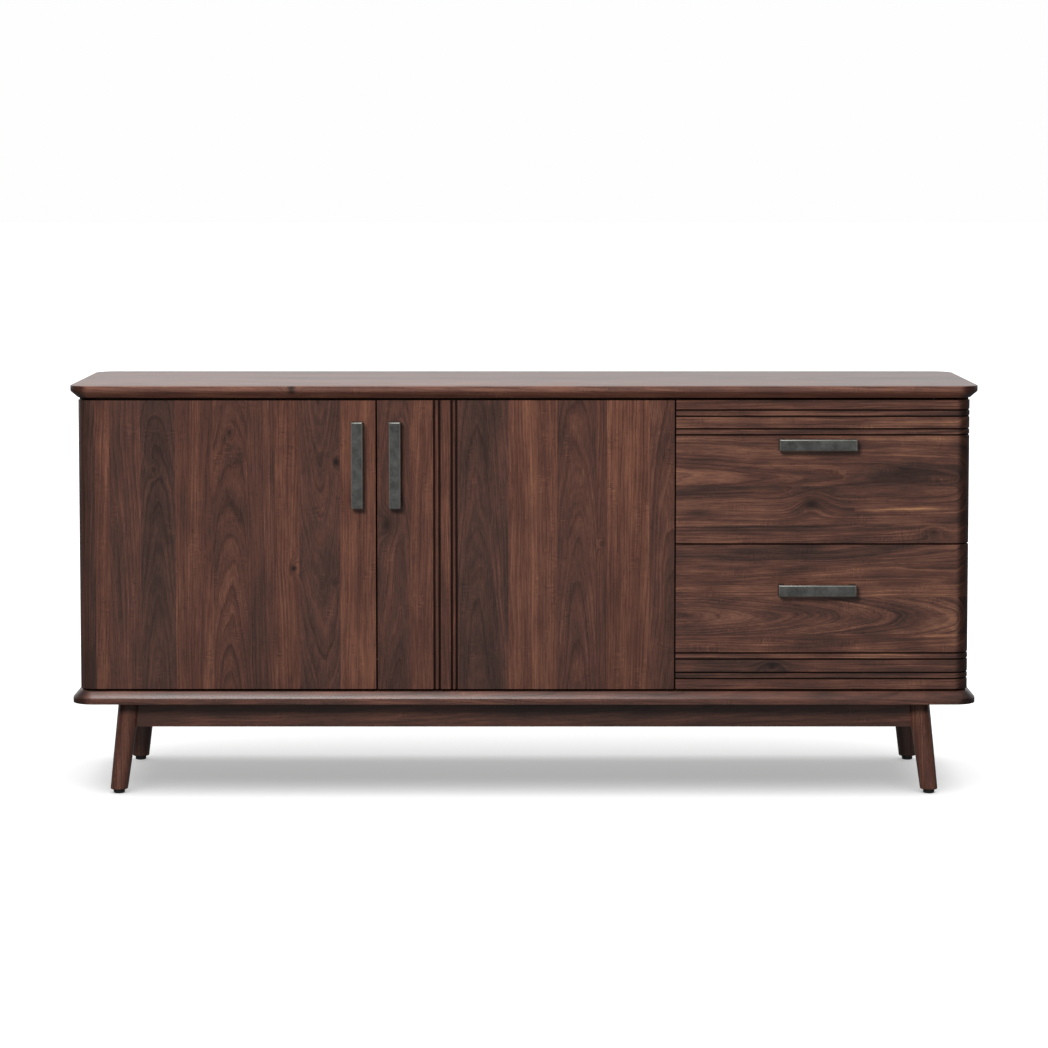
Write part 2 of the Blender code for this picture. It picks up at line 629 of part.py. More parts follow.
def add_slides(level, height, drawer_axis):
    """A three-member ball-bearing slide on each side of a drawer."""
    middle_axis = add_pivot_empty(f"slides_{level}_axis", drawer_axis.location)
    parents = {"cabinet": None, "middle": middle_axis, "drawer": drawer_axis}
    for side, face, toward in (("left", DIVIDER_RIGHT, 1.0), ("right", INNER_X, -1.0)):
        for member, (web, tip, half_height, lip) in SLIDE_MEMBERS.items():
            outline = channel_outline(toward * web, toward * tip, half_height, lip)
            start = SLIDE_FRONT_Y if member == "cabinet" else DRAWER_FRONT_Y
            add_plate(f"slide_{level}_{side}_{member}", outline, SLIDE_LENGTH, FACING_FRONT,
                      (face, start + SLIDE_LENGTH / 2, height), "zinc_steel", parents[member])


# ---------------------------------------------------------------- door catch
def add_catch():
    """A double magnetic catch under the top rail, behind the doors' meeting edges."""
    width = 0.052
    depth = 0.018
    height = 0.013
    front = PANEL_FRONT_Y + 0.0005
    ceiling = PANEL_TOP - RAIL_HEIGHT - GAP
    add_box("door_catch", (DOOR_SPLIT_X - width / 2, front, ceiling - height),
            (DOOR_SPLIT_X + width / 2, front + depth, ceiling), "black_plastic")


# ---------------------------------------------------------------- plinth
def leg_mesh(name, growth, foot_z, top_z):
    """A round tapered leg that leans by its horizontal slope; growth widens it for a cutter."""
    def build(bm):
        bmesh.ops.create_cone(bm, cap_ends=True, segments=LEG_SIDES, radius1=LEG_FOOT_R + growth,
                              radius2=LEG_TOP_R + growth, depth=top_z - foot_z)
    return mesh_from(name, build)


def lean_leg(mesh, slope_x, slope_y, foot_z, top_z):
    """Slides each height sideways, so that both ends stay level."""
    middle = (foot_z + top_z) / 2
    for vertex in mesh.vertices:
        height = vertex.co.z + middle
        vertex.co.x += slope_x * height
        vertex.co.y += slope_y * height


def add_plinth():
    top_z = BASE_UNDERSIDE - GAP
    foot_z = GLIDE_HEIGHT + GAP
    cutter_extra = 0.010
    leg_cutters = {}
    for end, y_edge, inward in (("front", TOP_FRONT_Y, 1.0), ("back", TOP_BACK_Y, -1.0)):
        for side, sign in (("left", -1.0), ("right", 1.0)):
            where = f"{end}_{side}"
            floor_x = sign * LEG_FOOT_X
            floor_y = y_edge + inward * LEG_FOOT_Y
            slope_x = sign * (LEG_TOP_X - LEG_FOOT_X) / top_z
            slope_y = inward * (LEG_TOP_Y - LEG_FOOT_Y) / top_z
            mesh = leg_mesh(f"leg_{where}", 0.0, foot_z, top_z)
            lean_leg(mesh, slope_x, slope_y, foot_z, top_z)
            smooth_round(mesh)
            leg = add_object(f"leg_{where}", mesh, "walnut_dark")
            leg.location = (floor_x, floor_y, (foot_z + top_z) / 2)
            cut_low = foot_z
            cut_high = top_z + cutter_extra
            cut_mesh = leg_mesh(f"leg_space_{where}", GAP, cut_low, cut_high)
            lean_leg(cut_mesh, slope_x, slope_y, cut_low, cut_high)
            cutter = add_cutter(f"leg_space_{where}", cut_mesh)
            cutter.location = (floor_x, floor_y, (cut_low + cut_high) / 2)
            leg_cutters[where] = cutter
            glide_profile = [(0.0, GLIDE_HEIGHT), (GLIDE_R, GLIDE_HEIGHT), (GLIDE_R, 0.0015),
                             (GLIDE_R - 0.0015, 0.0), (0.0, 0.0)]
            glide_x = floor_x + slope_x * GLIDE_HEIGHT
            glide_y = floor_y + slope_y * GLIDE_HEIGHT
            add_turned(f"glide_{where}", glide_profile, (glide_x, glide_y, 0.0), (0.0, 0.0, 0.0),
                       "black_plastic", steps=24)
    add_aprons(leg_cutters, top_z)


def add_aprons(leg_cutters, top_z):
    low_z = top_z - APRON_HEIGHT
    half = APRON_THICKNESS / 2
    reach = LEG_TOP_X
    front_y = TOP_FRONT_Y + LEG_TOP_Y
    back_y = TOP_BACK_Y - LEG_TOP_Y
    for end, centre_y in (("front", front_y), ("back", back_y)):
        apron = add_box(f"apron_{end}", (-reach, centre_y - half, low_z), (reach, centre_y + half, top_z),
                        "walnut_dark")
        for side in ("left", "right"):
            cut(apron, leg_cutters[f"{end}_{side}"])
    clear = half + 0.001
    for side, centre_x in (("left", -reach), ("right", reach)):
        apron = add_box(f"apron_{side}", (centre_x - half, front_y + clear, low_z),
                        (centre_x + half, back_y - clear, top_z), "walnut_dark")
        for end in ("front", "back"):
            cut(apron, leg_cutters[f"{end}_{side}"])


# ---------------------------------------------------------------- the whole cabinet
add_boards()
add_carcase()
add_door("left", left_door_outline(), DOOR_SPLIT_X - DOOR_HANDLE_EDGE)
add_door("right", right_door_outline(), DOOR_SPLIT_X + DOOR_HANDLE_EDGE)
add_catch()
add_drawer("upper", UPPER_FRONT_BOTTOM, FRONT_TOP, [FRONT_TOP - drop for drop in UPPER_GROOVE_DROP],
           UPPER_BOX_Z, UPPER_HANDLE_DROP)
add_drawer("lower", FRONT_BOTTOM, LOWER_FRONT_TOP, [FRONT_BOTTOM + rise for rise in LOWER_GROOVE_RISE],
           LOWER_BOX_Z, LOWER_HANDLE_DROP)
add_plinth()
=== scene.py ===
"""The looks of a dark walnut sideboard: doors, drawers, boards, handles and fittings around the frame."""
import math
import random

import bmesh
import bpy
from mathutils import Matrix, Vector


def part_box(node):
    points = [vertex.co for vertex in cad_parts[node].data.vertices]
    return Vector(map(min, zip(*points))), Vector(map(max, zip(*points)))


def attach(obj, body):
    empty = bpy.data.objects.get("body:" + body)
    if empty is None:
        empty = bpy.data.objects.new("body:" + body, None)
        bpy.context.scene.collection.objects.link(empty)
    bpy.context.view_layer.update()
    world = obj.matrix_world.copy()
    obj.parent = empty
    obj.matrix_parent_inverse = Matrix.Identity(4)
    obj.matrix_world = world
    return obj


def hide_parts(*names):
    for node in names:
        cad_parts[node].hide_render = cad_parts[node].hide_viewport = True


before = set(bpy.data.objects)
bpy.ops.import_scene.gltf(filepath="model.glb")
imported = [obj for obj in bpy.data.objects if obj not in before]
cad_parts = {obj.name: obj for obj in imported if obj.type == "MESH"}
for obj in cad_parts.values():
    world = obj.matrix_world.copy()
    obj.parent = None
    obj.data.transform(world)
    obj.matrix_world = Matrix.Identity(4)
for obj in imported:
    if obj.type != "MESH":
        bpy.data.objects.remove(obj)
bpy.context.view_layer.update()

MM = 0.001
FINE = 1 * MM                  # small turned pieces are smooth where their faces are narrower
X, Y, Z = 0, 1, 2

# ------------------------------------------------------------------ sizes
BOARD_CORNER = 42 * MM         # plan radius of the top and base boards' corners
BOARD_BEVEL = (15 * MM, 13 * MM)  # under the top board and over the base board: width, height
ARRIS = 0.8 * MM               # sanded edge on boards
NOSE = 2.2 * MM                # rounding between a board's bevel and its upright edge
FINE_ARRIS = 0.8 * MM          # sanded edge on doors and drawer fronts
END_ROUND = (32 * MM, 25 * MM) # quarter-ellipse on the outer front corners: across, deep
END_BLOCK = 21.5 * MM          # width of the thick outer ends
END_BLOCK_ROUND = 5 * MM
PIVOT_INSET = 13 * MM          # from the left door's outer end to the line it turns on
FRONT_THICKNESS = 22 * MM
RAIL_CORNER = 12 * MM
PANEL_BACK_ROUND = 14 * MM
DOOR_GROOVE = 4.4 * MM
DRAWER_GROOVE = 3.2 * MM
GROOVE_DEPTH = 5 * MM
GROOVE_LIP = 0.5 * MM
GROOVE_END_DEPTH = 1.6 * MM    # where the grooves run out at a drawer's outer end
DOOR_GROOVES = (-0.1775, -0.1672, -0.1430, -0.1336)
UPPER_GROOVE_DROP = (0.0197, 0.0321, 0.0569, 0.0689)
LOWER_GROOVE_RISE = (0.0213, 0.0334, 0.0602, 0.0725)
HANDLE_BAR = 10 * MM
HANDLE_FOOT = 12 * MM
HANDLE_CHAMFER = 2.2 * MM
WASHER = 0.8 * MM
HANDLE_SCREW = (4 * MM, 2.4 * MM, 5.5 * MM)   # head radius, head height, washer radius
SLIDE_SCREW = 3.4 * MM         # head radius
PANEL_SCREW = 3.6 * MM
FLUSH_HEAD = 0.5 * MM          # how far a countersunk head stands out
RAISED_HEAD = 1.8 * MM
SLIDE_STEEL = 1.2 * MM
LEG_FOOT, LEG_TOP = 17.4 * MM, 21.7 * MM      # radii
LEG_ARRIS = 1.6 * MM
GLIDE_LIP, GLIDE_ROUND = 1 * MM, 2 * MM
APRON_SHY = 1.6 * MM           # an apron ends this far short of the legs' middle
STRIKE_PLATE = (20 * MM, 1.2 * MM)            # width, thickness
CAGE_START = 5 * MM            # from a slide member's front end to its ball cage
CAGE_LENGTH = 90 * MM
CAGE_BALLS = 9

# ------------------------------------------------------------------ light levels
OVERHEAD_LIGHT = 0.34
BACK_LIGHT = 1.00
FRONT_LIGHT = 0.22
SIDE_LIGHT = 0.03
BOUNCE_LIGHT = 0.13
BACKDROP = 0.99
KEY_WATTS = 295.0
STRIP_WATTS = 64.0
SIDE_CARD_WATTS = 2.0
TOP_CARD_WATTS = 9.0
EDGE_CARD_WATTS = 16.0
FLOOR_SUN = 3.3
FLOOR_GLOW = 0.355

# ------------------------------------------------------------------ camera
CAMERA_BACK = 6.0555           # in front of the top board's front edge
CAMERA_HEIGHT = 1.2546
CAMERA_TILT = 4.0              # degrees down
LENS, SENSOR = 105.945, 36.0   # millimetres
LENS_SHIFT = -0.1372


# ------------------------------------------------------------------ small tools
def sheet_colour(code):
    """An sRGB hex colour as linear red, green, blue and alpha."""
    channels = [int(code[i:i + 2], 16) / 255 for i in (1, 3, 5)]
    linear = [c / 12.92 if c <= 0.04045 else ((c + 0.055) / 1.055) ** 2.4 for c in channels]
    return (*linear, 1.0)


def span(node):
    low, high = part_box(node)
    return Vector(low), Vector(high)


def arc(centre, radius_x, radius_y, start, end, steps):
    """Points along a stretch of an ellipse; angles in degrees."""
    turn = [math.radians(start + (end - start) * step / steps) for step in range(steps + 1)]
    return [(centre[0] + radius_x * math.cos(a), centre[1] + radius_y * math.sin(a)) for a in turn]


def block(low, high):
    """A bmesh box between two corners."""
    bm = bmesh.new()
    bmesh.ops.create_cube(bm, size=1.0)
    low, high = Vector(low), Vector(high)
    bmesh.ops.scale(bm, vec=high - low, verts=bm.verts)
    bmesh.ops.translate(bm, vec=(low + high) / 2, verts=bm.verts)
    return bm


def prism(outline, low, high):
    """An outline in X and Y drawn up from one height to another."""
    bm = bmesh.new()
    floor = bm.faces.new([bm.verts.new((across, along, low)) for across, along in outline])
    raised = bmesh.ops.extrude_face_region(bm, geom=[floor])
    top = [item for item in raised["geom"] if isinstance(item, bmesh.types.BMVert)]
    bmesh.ops.translate(bm, vec=(0, 0, high - low), verts=top)
    bmesh.ops.recalc_face_normals(bm, faces=bm.faces)
    return bm


def turned(profile, steps=40):
    """A profile of (radius, height) points spun about Z, its ends on the axis."""
    bm = bmesh.new()
    points = [bm.verts.new((radius, 0, height)) for radius, height in profile]
    edges = [bm.edges.new(pair) for pair in zip(points, points[1:])]
    bmesh.ops.spin(bm, geom=points + edges, axis=(0, 0, 1), cent=(0, 0, 0), steps=steps,
                   angle=2 * math.pi, use_merge=True)
    bmesh.ops.remove_doubles(bm, verts=bm.verts, dist=1e-6)
    bmesh.ops.recalc_face_normals(bm, faces=bm.faces)
    return bm


def place(bm, turn=None, at=(0, 0, 0)):
    """Turns a bmesh about the origin and moves it."""
    if turn is not None:
        bmesh.ops.rotate(bm, verts=bm.verts, cent=(0, 0, 0), matrix=Matrix.Rotation(turn[0], 3, turn[1]))
    bmesh.ops.translate(bm, vec=Vector(at), verts=bm.verts)
    return bm


def pointed(bm, at, facing):
    """Turns a bmesh that stands on Z to face along another axis and moves it."""
    turn = {"+Y": (-math.pi / 2, "X"), "+X": (math.pi / 2, "Y"), "-X": (-math.pi / 2, "Y")}[facing]
    return place(bm, turn, at)


def screw_head(radius, height, at, facing, washer=0.0):
    """A domed head with a round socket, which sits on a washer if its radius is given."""
    lift = WASHER if washer else 0.0
    profile = [(0, lift + height * 0.3), (radius * 0.34, lift + height * 0.3),
               (radius * 0.42, lift + height * 0.92), (radius * 0.62, lift + height),
               (radius * 0.88, lift + height * 0.8), (radius, lift + height * 0.35), (radius, lift)]
    if washer:
        profile += [(washer - 0.2 * MM, lift), (washer, lift - 0.2 * MM), (washer, 0)]
    return pointed(turned(profile + [(0, 0)], 24), at, facing)


def soften(bm, edges, width, segments=3):
    """Rounds the given edges."""
    bmesh.ops.bevel(bm, geom=edges, offset=width, offset_type="OFFSET", segments=segments, profile=0.5,
                    affect="EDGES", material=-1, clamp_overlap=True)


def crisp_edges(bm, least=0.6):
    """Edges whose two faces meet at more than that many radians."""
    return [e for e in bm.edges if len(e.link_faces) == 2 and e.calc_face_angle(0.0) > least]


def merged(*meshes):
    """Several bmeshes as one."""
    whole = bmesh.new()
    for bm in meshes:
        part = bpy.data.meshes.new("joined")
        bm.to_mesh(part)
        bm.free()
        whole.from_mesh(part)
        bpy.data.meshes.remove(part)
    return whole


def finish_shading(mesh, flat_width=8 * MM):
    """Broad faces stay flat, narrow strips of a curve are smooth."""
    for face in mesh.polygons:
        longest = max(math.dist(mesh.vertices[a].co, mesh.vertices[b].co) for a, b in face.edge_keys)
        face.use_smooth = face.area / longest < flat_width
    mesh.set_sharp_from_angle(angle=math.radians(38))


def add_piece(name, bm, body, material, stands_for=(), flat_width=8 * MM):
    """Makes a finished piece from a bmesh, rides it and hides the CAD nodes it stands for."""
    mesh = bpy.data.meshes.new(name)
    bm.to_mesh(mesh)
    bm.free()
    for finish in material if isinstance(material, (list, tuple)) else [material]:
        mesh.materials.append(finish)
    finish_shading(mesh, flat_width)
    piece = bpy.data.objects.new(name, mesh)
    bpy.context.scene.collection.objects.link(piece)
    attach(piece, body)
    if stands_for:
        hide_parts(*stands_for)
    return piece


# ------------------------------------------------------------------ material tools
def new_material(name):
    material = bpy.data.materials.new(name)
    material.use_nodes = True
    tree = material.node_tree
    return material, tree, tree.nodes["Principled BSDF"]


def put(tree, kind, inputs=None, **settings):
    """Adds one node with its settings; each input is a value or an output socket to link."""
    node = tree.nodes.new("ShaderNode" + kind)
    for key, value in settings.items():
        setattr(node, key, value)
    for key, value in (inputs or {}).items():
        if isinstance(value, bpy.types.NodeSocket):
            tree.links.new(value, node.inputs[key])
        else:
            node.inputs[key].default_value = value
    return node


def maths(tree, operation, *values, clamp=False):
    return put(tree, "Math", dict(enumerate(values)), operation=operation, use_clamp=clamp).outputs[0]


def blend_colours(tree, how, amount, first, second):
    node = put(tree, "Mix", data_type="RGBA", blend_type=how)
    for index, value in ((0, amount), (6, first), (7, second)):
        if isinstance(value, bpy.types.NodeSocket):
            tree.links.new(value, node.inputs[index])
        else:
            node.inputs[index].default_value = value
    return node.outputs[2]


def ramp(tree, value, stops):
    """A colour ramp through (place, hex colour) stops."""
    node = put(tree, "ValToRGB", {"Fac": value})
    elements = node.color_ramp.elements
    while len(elements) < len(stops):
        elements.new(0.5)
    for element, (position, code) in zip(elements, stops):
        element.position = position
        element.color = sheet_colour(code)
    return node.outputs["Color"]


def noise(tree, where, scale, detail=2.0, roughness=0.5):
    inputs = {"Vector": where, "Scale": scale, "Detail": detail, "Roughness": roughness}
    return put(tree, "TexNoise", inputs).outputs["Fac"]


def total(tree, *terms):
    """The sum of (value, weight) pairs."""
    result = None
    for value, weight in terms:
        term = value * weight if isinstance(value, float) else maths(tree, "MULTIPLY", value, weight)
        result = term if result is None else maths(tree, "ADD", result, term)
    return result


# ------------------------------------------------------------------ walnut
RING_WIDTH = 5.0 * MM          # from one dark latewood line to the next
# faces across the grain darken: real end grain, set deep enough to paint shade on the drawers' rounded ends
# and the board tips
END_GRAIN_START = 0.10         # how far a face must lean across the grain before it looks darker
END_GRAIN_SPREAD = 0.25
END_GRAIN_AND_SHADE_DEPTH = 0.85
WALNUT_TONES = [(0.00, "#271c19"), (0.28, "#3f2c27"), (0.50, "#583a31"), (0.75, "#785343"),
                (1.00, "#a67a58")]
# near-black walnut for the grooves: painted shade in the recesses
GROOVE_SHADE_TONES = [(0.00, "#100a08"), (0.50, "#21130f"), (1.00, "#33201a")]
INSIDE_TONES = [(0.00, "#3c2b24"), (0.30, "#553d32"), (0.52, "#6d4d3d"), (0.75, "#85604a"),
                (1.00, "#a47a60")]


def walnut(name, tones, roughness, coat):
    """Solid walnut, planed, sanded and sealed under a satin lacquer.

    The grain comes from growth rings about a pith line that lies below each stave, so a stave
    cut near it shows arches and one cut beside it shows straight lines.  The eye gets broad
    light and dark bands, fine dark pore lines along the grain and a soft sheen over both.
    """
    material, tree, shader = new_material(name)
    grain = put(tree, "Attribute", attribute_name="grain").outputs["Vector"]
    stave = put(tree, "Attribute", attribute_name="stave").outputs["Vector"]
    knot = put(tree, "Attribute", attribute_name="knot").outputs["Vector"]
    tone, red, seed = put(tree, "SeparateXYZ", {0: stave}).outputs
    knot_across, knot_along, knot_dark = put(tree, "SeparateXYZ", {0: knot}).outputs
    across_grain_and_shade = put(tree, "Attribute", attribute_name="end_grain_and_shade").outputs["Fac"]
    figure = put(tree, "Attribute", attribute_name="figure").outputs["Fac"]
    across, along, deep = put(tree, "SeparateXYZ", {0: grain}).outputs
    seed_shift = put(tree, "VectorMath", {0: (7.3, 3.1, 5.7), "Scale": seed}, operation="SCALE").outputs[0]

    def field(sizes, detail=2.0, roughness=0.5):
        """Noise about zero with features of a size in metres: across, along and deep."""
        scaled = put(tree, "VectorMath", {0: grain, 1: [1 / size for size in sizes]}, operation="MULTIPLY")
        moved = put(tree, "VectorMath", {0: scaled.outputs[0], 1: seed_shift}, operation="ADD").outputs[0]
        return maths(tree, "SUBTRACT", noise(tree, moved, 1.0, detail, roughness), 0.5)

    # distance from the pith, with the tree's slow and quick wobbles and the swelling round a knot
    from_pith = put(tree, "CombineXYZ", {0: across, 2: deep}).outputs[0]
    radius = put(tree, "VectorMath", {0: from_pith}, operation="LENGTH").outputs["Value"]
    knot_place = put(tree, "CombineXYZ", {0: knot_across, 1: knot_along}).outputs[0]
    knot_far = put(tree, "VectorMath", {0: knot_place}, operation="LENGTH").outputs["Value"]
    knot_far = maths(tree, "MULTIPLY", knot_far, knot_far)
    streak = put(tree, "Attribute", attribute_name="streak").outputs["Vector"]
    streak_across, streak_along, streak_light = put(tree, "SeparateXYZ", {0: streak}).outputs
    swelling = maths(tree, "POWER", math.e, maths(tree, "MULTIPLY", knot_far, -0.5))
    ring_place = total(tree, (radius, 1.0), (field((60 * MM, 380 * MM, 60 * MM)), 18 * MM),
                       (field((10 * MM, 60 * MM, 10 * MM)), 1.9 * MM), (swelling, 15 * MM))

    # each ring darkens towards its outer edge, some far more than others
    ring_count = maths(tree, "DIVIDE", ring_place, RING_WIDTH)
    within = maths(tree, "FRACT", ring_count)
    which = total(tree, (maths(tree, "FLOOR", ring_count), 1.0), (seed, 91.0))
    strength = put(tree, "TexWhiteNoise", {"W": which}, noise_dimensions="1D").outputs["Value"]
    late = maths(tree, "POWER", within, 5.0)
    fade = maths(tree, "SUBTRACT", 1.0, maths(tree, "POWER", within, 26.0))
    latewood = maths(tree, "MULTIPLY", maths(tree, "MULTIPLY", late, fade),
                     total(tree, (strength, 0.80), (1.0, 0.20)))

    # bands and hairlines that follow the rings, fibres and pores that run straight
    def along_rings(width, length, detail, roughness=0.5):
        place = put(tree, "CombineXYZ", {0: maths(tree, "DIVIDE", ring_place, width),
                                         1: maths(tree, "DIVIDE", along, length),
                                         2: maths(tree, "MULTIPLY", seed, 13.0)}).outputs[0]
        return maths(tree, "SUBTRACT", noise(tree, place, 1.0, detail, roughness), 0.5)

    hairline = along_rings(2.4 * MM, 220 * MM, 3.0, 0.6)
    fibres = field((1.8 * MM, 75 * MM, 1.8 * MM), 3.0, 0.65)
    pore_field = field((0.8 * MM, 14 * MM, 0.8 * MM))
    pores = put(tree, "MapRange", {"Value": pore_field, "From Min": 0.06, "From Max": 0.22}).outputs[0]
    ripple = field((14 * MM, 2.2 * MM, 14 * MM), 2.0, 0.6)
    curl = put(tree, "MapRange", {"Value": field((26 * MM, 60 * MM, 26 * MM)), "From Min": 0.04,
                                  "From Max": 0.20}).outputs[0]
    bands = total(tree, (along_rings(15 * MM, 600 * MM, 1.5), 0.42), (hairline, 0.55),
                  (field((40 * MM, 110 * MM, 40 * MM), 3.0), 0.40))
    depth = total(tree, (tone, 1.0), (1.0, 0.47), (maths(tree, "MULTIPLY", bands, figure), 1.0),
                  (fibres, 0.55), (maths(tree, "MULTIPLY", ripple, curl), 0.70))
    bend = total(tree, (streak_across, 1.0), (field((60 * MM, 90 * MM, 60 * MM)), 3.2))
    streak_place = put(tree, "CombineXYZ", {0: bend, 1: streak_along, 2: 0.0}).outputs[0]
    streak_far = put(tree, "VectorMath", {0: streak_place}, operation="LENGTH").outputs["Value"]
    streak_far = maths(tree, "MULTIPLY", streak_far, streak_far)
    streak_amount = maths(tree, "MULTIPLY", streak_light,
                          maths(tree, "POWER", math.e, maths(tree, "MULTIPLY", streak_far, -1.0)))
    depth = maths(tree, "ADD", depth, streak_amount)
    colour = ramp(tree, depth, tones)
    colour = blend_colours(tree, "MULTIPLY", red, colour, sheet_colour("#fff0e8"))
    colour = blend_colours(tree, "MULTIPLY", maths(tree, "MULTIPLY", latewood, 0.80), colour,
                           sheet_colour("#6a5a5c"))
    colour = blend_colours(tree, "MULTIPLY", maths(tree, "MULTIPLY", pores, 0.55), colour,
                           sheet_colour("#75625e"))
    # end-grain darkening, partly painted shade on the rounded ends and board tips
    colour = blend_colours(tree, "MULTIPLY", maths(tree, "MULTIPLY", across_grain_and_shade, END_GRAIN_AND_SHADE_DEPTH), colour,
                           sheet_colour("#6f625e"))
    eye = maths(tree, "POWER", math.e, maths(tree, "MULTIPLY", knot_far, -1.8))
    eye = maths(tree, "MULTIPLY", eye, knot_dark, clamp=True)
    colour = blend_colours(tree, "MIX", eye, colour, sheet_colour("#191210"))
    tree.links.new(colour, shader.inputs["Base Color"])

    shine = total(tree, (1.0, roughness), (hairline, 0.20))
    tree.links.new(shine, shader.inputs["Roughness"])
    relief = total(tree, (pores, -0.6), (latewood, 0.4))
    bump = put(tree, "Bump", {"Height": relief, "Strength": 0.18, "Distance": 0.15 * MM})
    tree.links.new(bump.outputs[0], shader.inputs["Normal"])
    shader.inputs["IOR"].default_value = 1.5
    shader.inputs["Specular IOR Level"].default_value = 0.3
    shader.inputs["Coat Weight"].default_value = coat
    shader.inputs["Coat Roughness"].default_value = 0.26
    return material


NO_MARK = (9.0, 9.0, 0.0)
DRAWER_FIGURE = 1.75
APRON_TONE = -0.08


def slice_at(bm, axis, where):
    """Cuts edges and faces along a plane square to an axis."""
    offset = Vector((0, 0, 0))
    offset[axis] = where
    normal = Vector((0, 0, 0))
    normal[axis] = 1.0
    bmesh.ops.bisect_plane(bm, geom=bm.verts[:] + bm.edges[:] + bm.faces[:], dist=1e-7,
                           plane_co=offset, plane_no=normal)


def lay_grain(bm, name, along, across, deep, staves=None, lift=0.0, figure=1.0):
    """Gives every stave of a piece its own cut of the tree.

    along, across and deep are axis numbers.  A stave is (end, tone, red, beside, below, lean,
    knots, streaks): it runs to `end` across the piece, its pith line lies `beside` and `below` it
    and leans by `lean`; each knot is (across, along, half width, half length, darkness), and a
    streak is the same with lightness last.  figure scales how strongly the bands stand out.
    """
    if staves is None:
        staves = random_staves(bm, name, across)
    for stave in staves[:-1]:
        slice_at(bm, across, stave[0])
    staves = [(*stave, (), ())[:8] for stave in staves]
    for marks in (marks for stave in staves for marks in stave[6:]):
        runs = sorted(mark[1] for mark in marks)
        for near, far in zip(runs, runs[1:]):
            slice_at(bm, along, (near + far) / 2)
    middle = sum((v.co[along] for v in bm.verts)) / len(bm.verts)
    start = min(v.co[across] for v in bm.verts)
    dice = random.Random(name)
    cuts = []
    for end, tone, red, beside, below, lean, knots, streaks in staves:
        cuts.append((end, (start + end) / 2, tone, red, beside, below, lean, dice.uniform(0, 9),
                     {"knot": knots, "streak": streaks}))
        start = end
    grain = bm.loops.layers.float_vector.new("grain")
    stave_layer = bm.loops.layers.float_vector.new("stave")
    mark_layers = {kind: bm.loops.layers.float_vector.new(kind) for kind in ("knot", "streak")}
    end_layer = bm.loops.layers.float.new("end_grain_and_shade")
    figure_layer = bm.loops.layers.float.new("figure")
    for face in bm.faces:
        place_across = face.calc_center_median()[across]
        place_along = face.calc_center_median()[along]
        cut_across = (abs(face.normal[along]) - END_GRAIN_START) / END_GRAIN_SPREAD
        end_grain_and_shade = min(1.0, max(0.0, cut_across))
        cut = next((c for c in cuts if place_across < c[0]), cuts[-1])
        _, centre, tone, red, beside, below, lean, seed, marks = cut
        nearest = {kind: min(found, key=lambda mark: abs(mark[1] - place_along), default=None)
                   for kind, found in marks.items()}
        for loop in face.loops:
            co = loop.vert.co
            run = co[along] - middle
            loop[grain] = (co[across] - centre - beside, run, below + lift + co[deep] + lean * run)
            loop[stave_layer] = (tone, red, seed)
            loop[end_layer] = end_grain_and_shade
            loop[figure_layer] = figure
            for kind, mark in nearest.items():
                loop[mark_layers[kind]] = NO_MARK if mark is None else (
                    (co[across] - mark[0]) / mark[2], (co[along] - mark[1]) / mark[3], mark[4])
    return bm


def random_staves(bm, name, across):
    """Staves of ordinary widths and cuts for a piece whose own aren't chosen."""
    dice = random.Random(name + " staves")
    low = min(v.co[across] for v in bm.verts)
    high = max(v.co[across] for v in bm.verts)
    count = max(1, round((high - low) / (75 * MM)))
    staves = []
    for index in range(count):
        end = low + (high - low) * (index + 1) / count
        end += dice.uniform(-9, 9) * MM if index < count - 1 else 0.0
        beside = dice.choice((0.0, 0.0, 55 * MM, -60 * MM)) + dice.uniform(-8, 8) * MM
        staves.append((end, dice.uniform(-0.10, 0.10), dice.uniform(0, 1), beside,
                       dice.uniform(50, 90) * MM, dice.choice((-1, 1)) * dice.uniform(0.03, 0.07)))
    return staves


# ------------------------------------------------------------------ other finishes
def gunmetal(name, dark, light, roughness):
    """Zinc casting, plated and aged to gunmetal, then hand rubbed: cloudy grey with a dull gleam."""
    material, tree, shader = new_material(name)
    where = put(tree, "TexCoord").outputs["Object"]
    cloud = noise(tree, where, 1 / (16 * MM), 4.0, 0.6)
    rubbing = noise(tree, where, 1 / (1.6 * MM), 3.0, 0.6)
    amount = maths(tree, "ADD", maths(tree, "MULTIPLY", cloud, 1.3), maths(tree, "MULTIPLY", rubbing, 0.35))
    colour = ramp(tree, maths(tree, "SUBTRACT", amount, 0.35, clamp=True), [(0.2, dark), (0.8, light)])
    tree.links.new(colour, shader.inputs["Base Color"])
    shader.inputs["Metallic"].default_value = 1.0
    shine = put(tree, "MapRange", {"Value": cloud, "From Min": 0.3, "From Max": 0.7,
                                   "To Min": roughness - 0.06, "To Max": roughness + 0.08}).outputs[0]
    tree.links.new(shine, shader.inputs["Roughness"])
    bump = put(tree, "Bump", {"Height": rubbing, "Strength": 0.25, "Distance": 0.06 * MM})
    tree.links.new(bump.outputs[0], shader.inputs["Normal"])
    return material


def zinc_plate(name):
    """Cold-rolled steel, bright zinc plated: pale grey with a faint spangle."""
    material, tree, shader = new_material(name)
    where = put(tree, "TexCoord").outputs["Object"]
    spangle = noise(tree, where, 1 / (4 * MM), 3.0, 0.6)
    colour = ramp(tree, spangle, [(0.3, "#a4a7a9"), (0.7, "#c6c8c8")])
    tree.links.new(colour, shader.inputs["Base Color"])
    shader.inputs["Metallic"].default_value = 1.0
    shine = put(tree, "MapRange", {"Value": spangle, "To Min": 0.28, "To Max": 0.42}).outputs[0]
    tree.links.new(shine, shader.inputs["Roughness"])
    return material


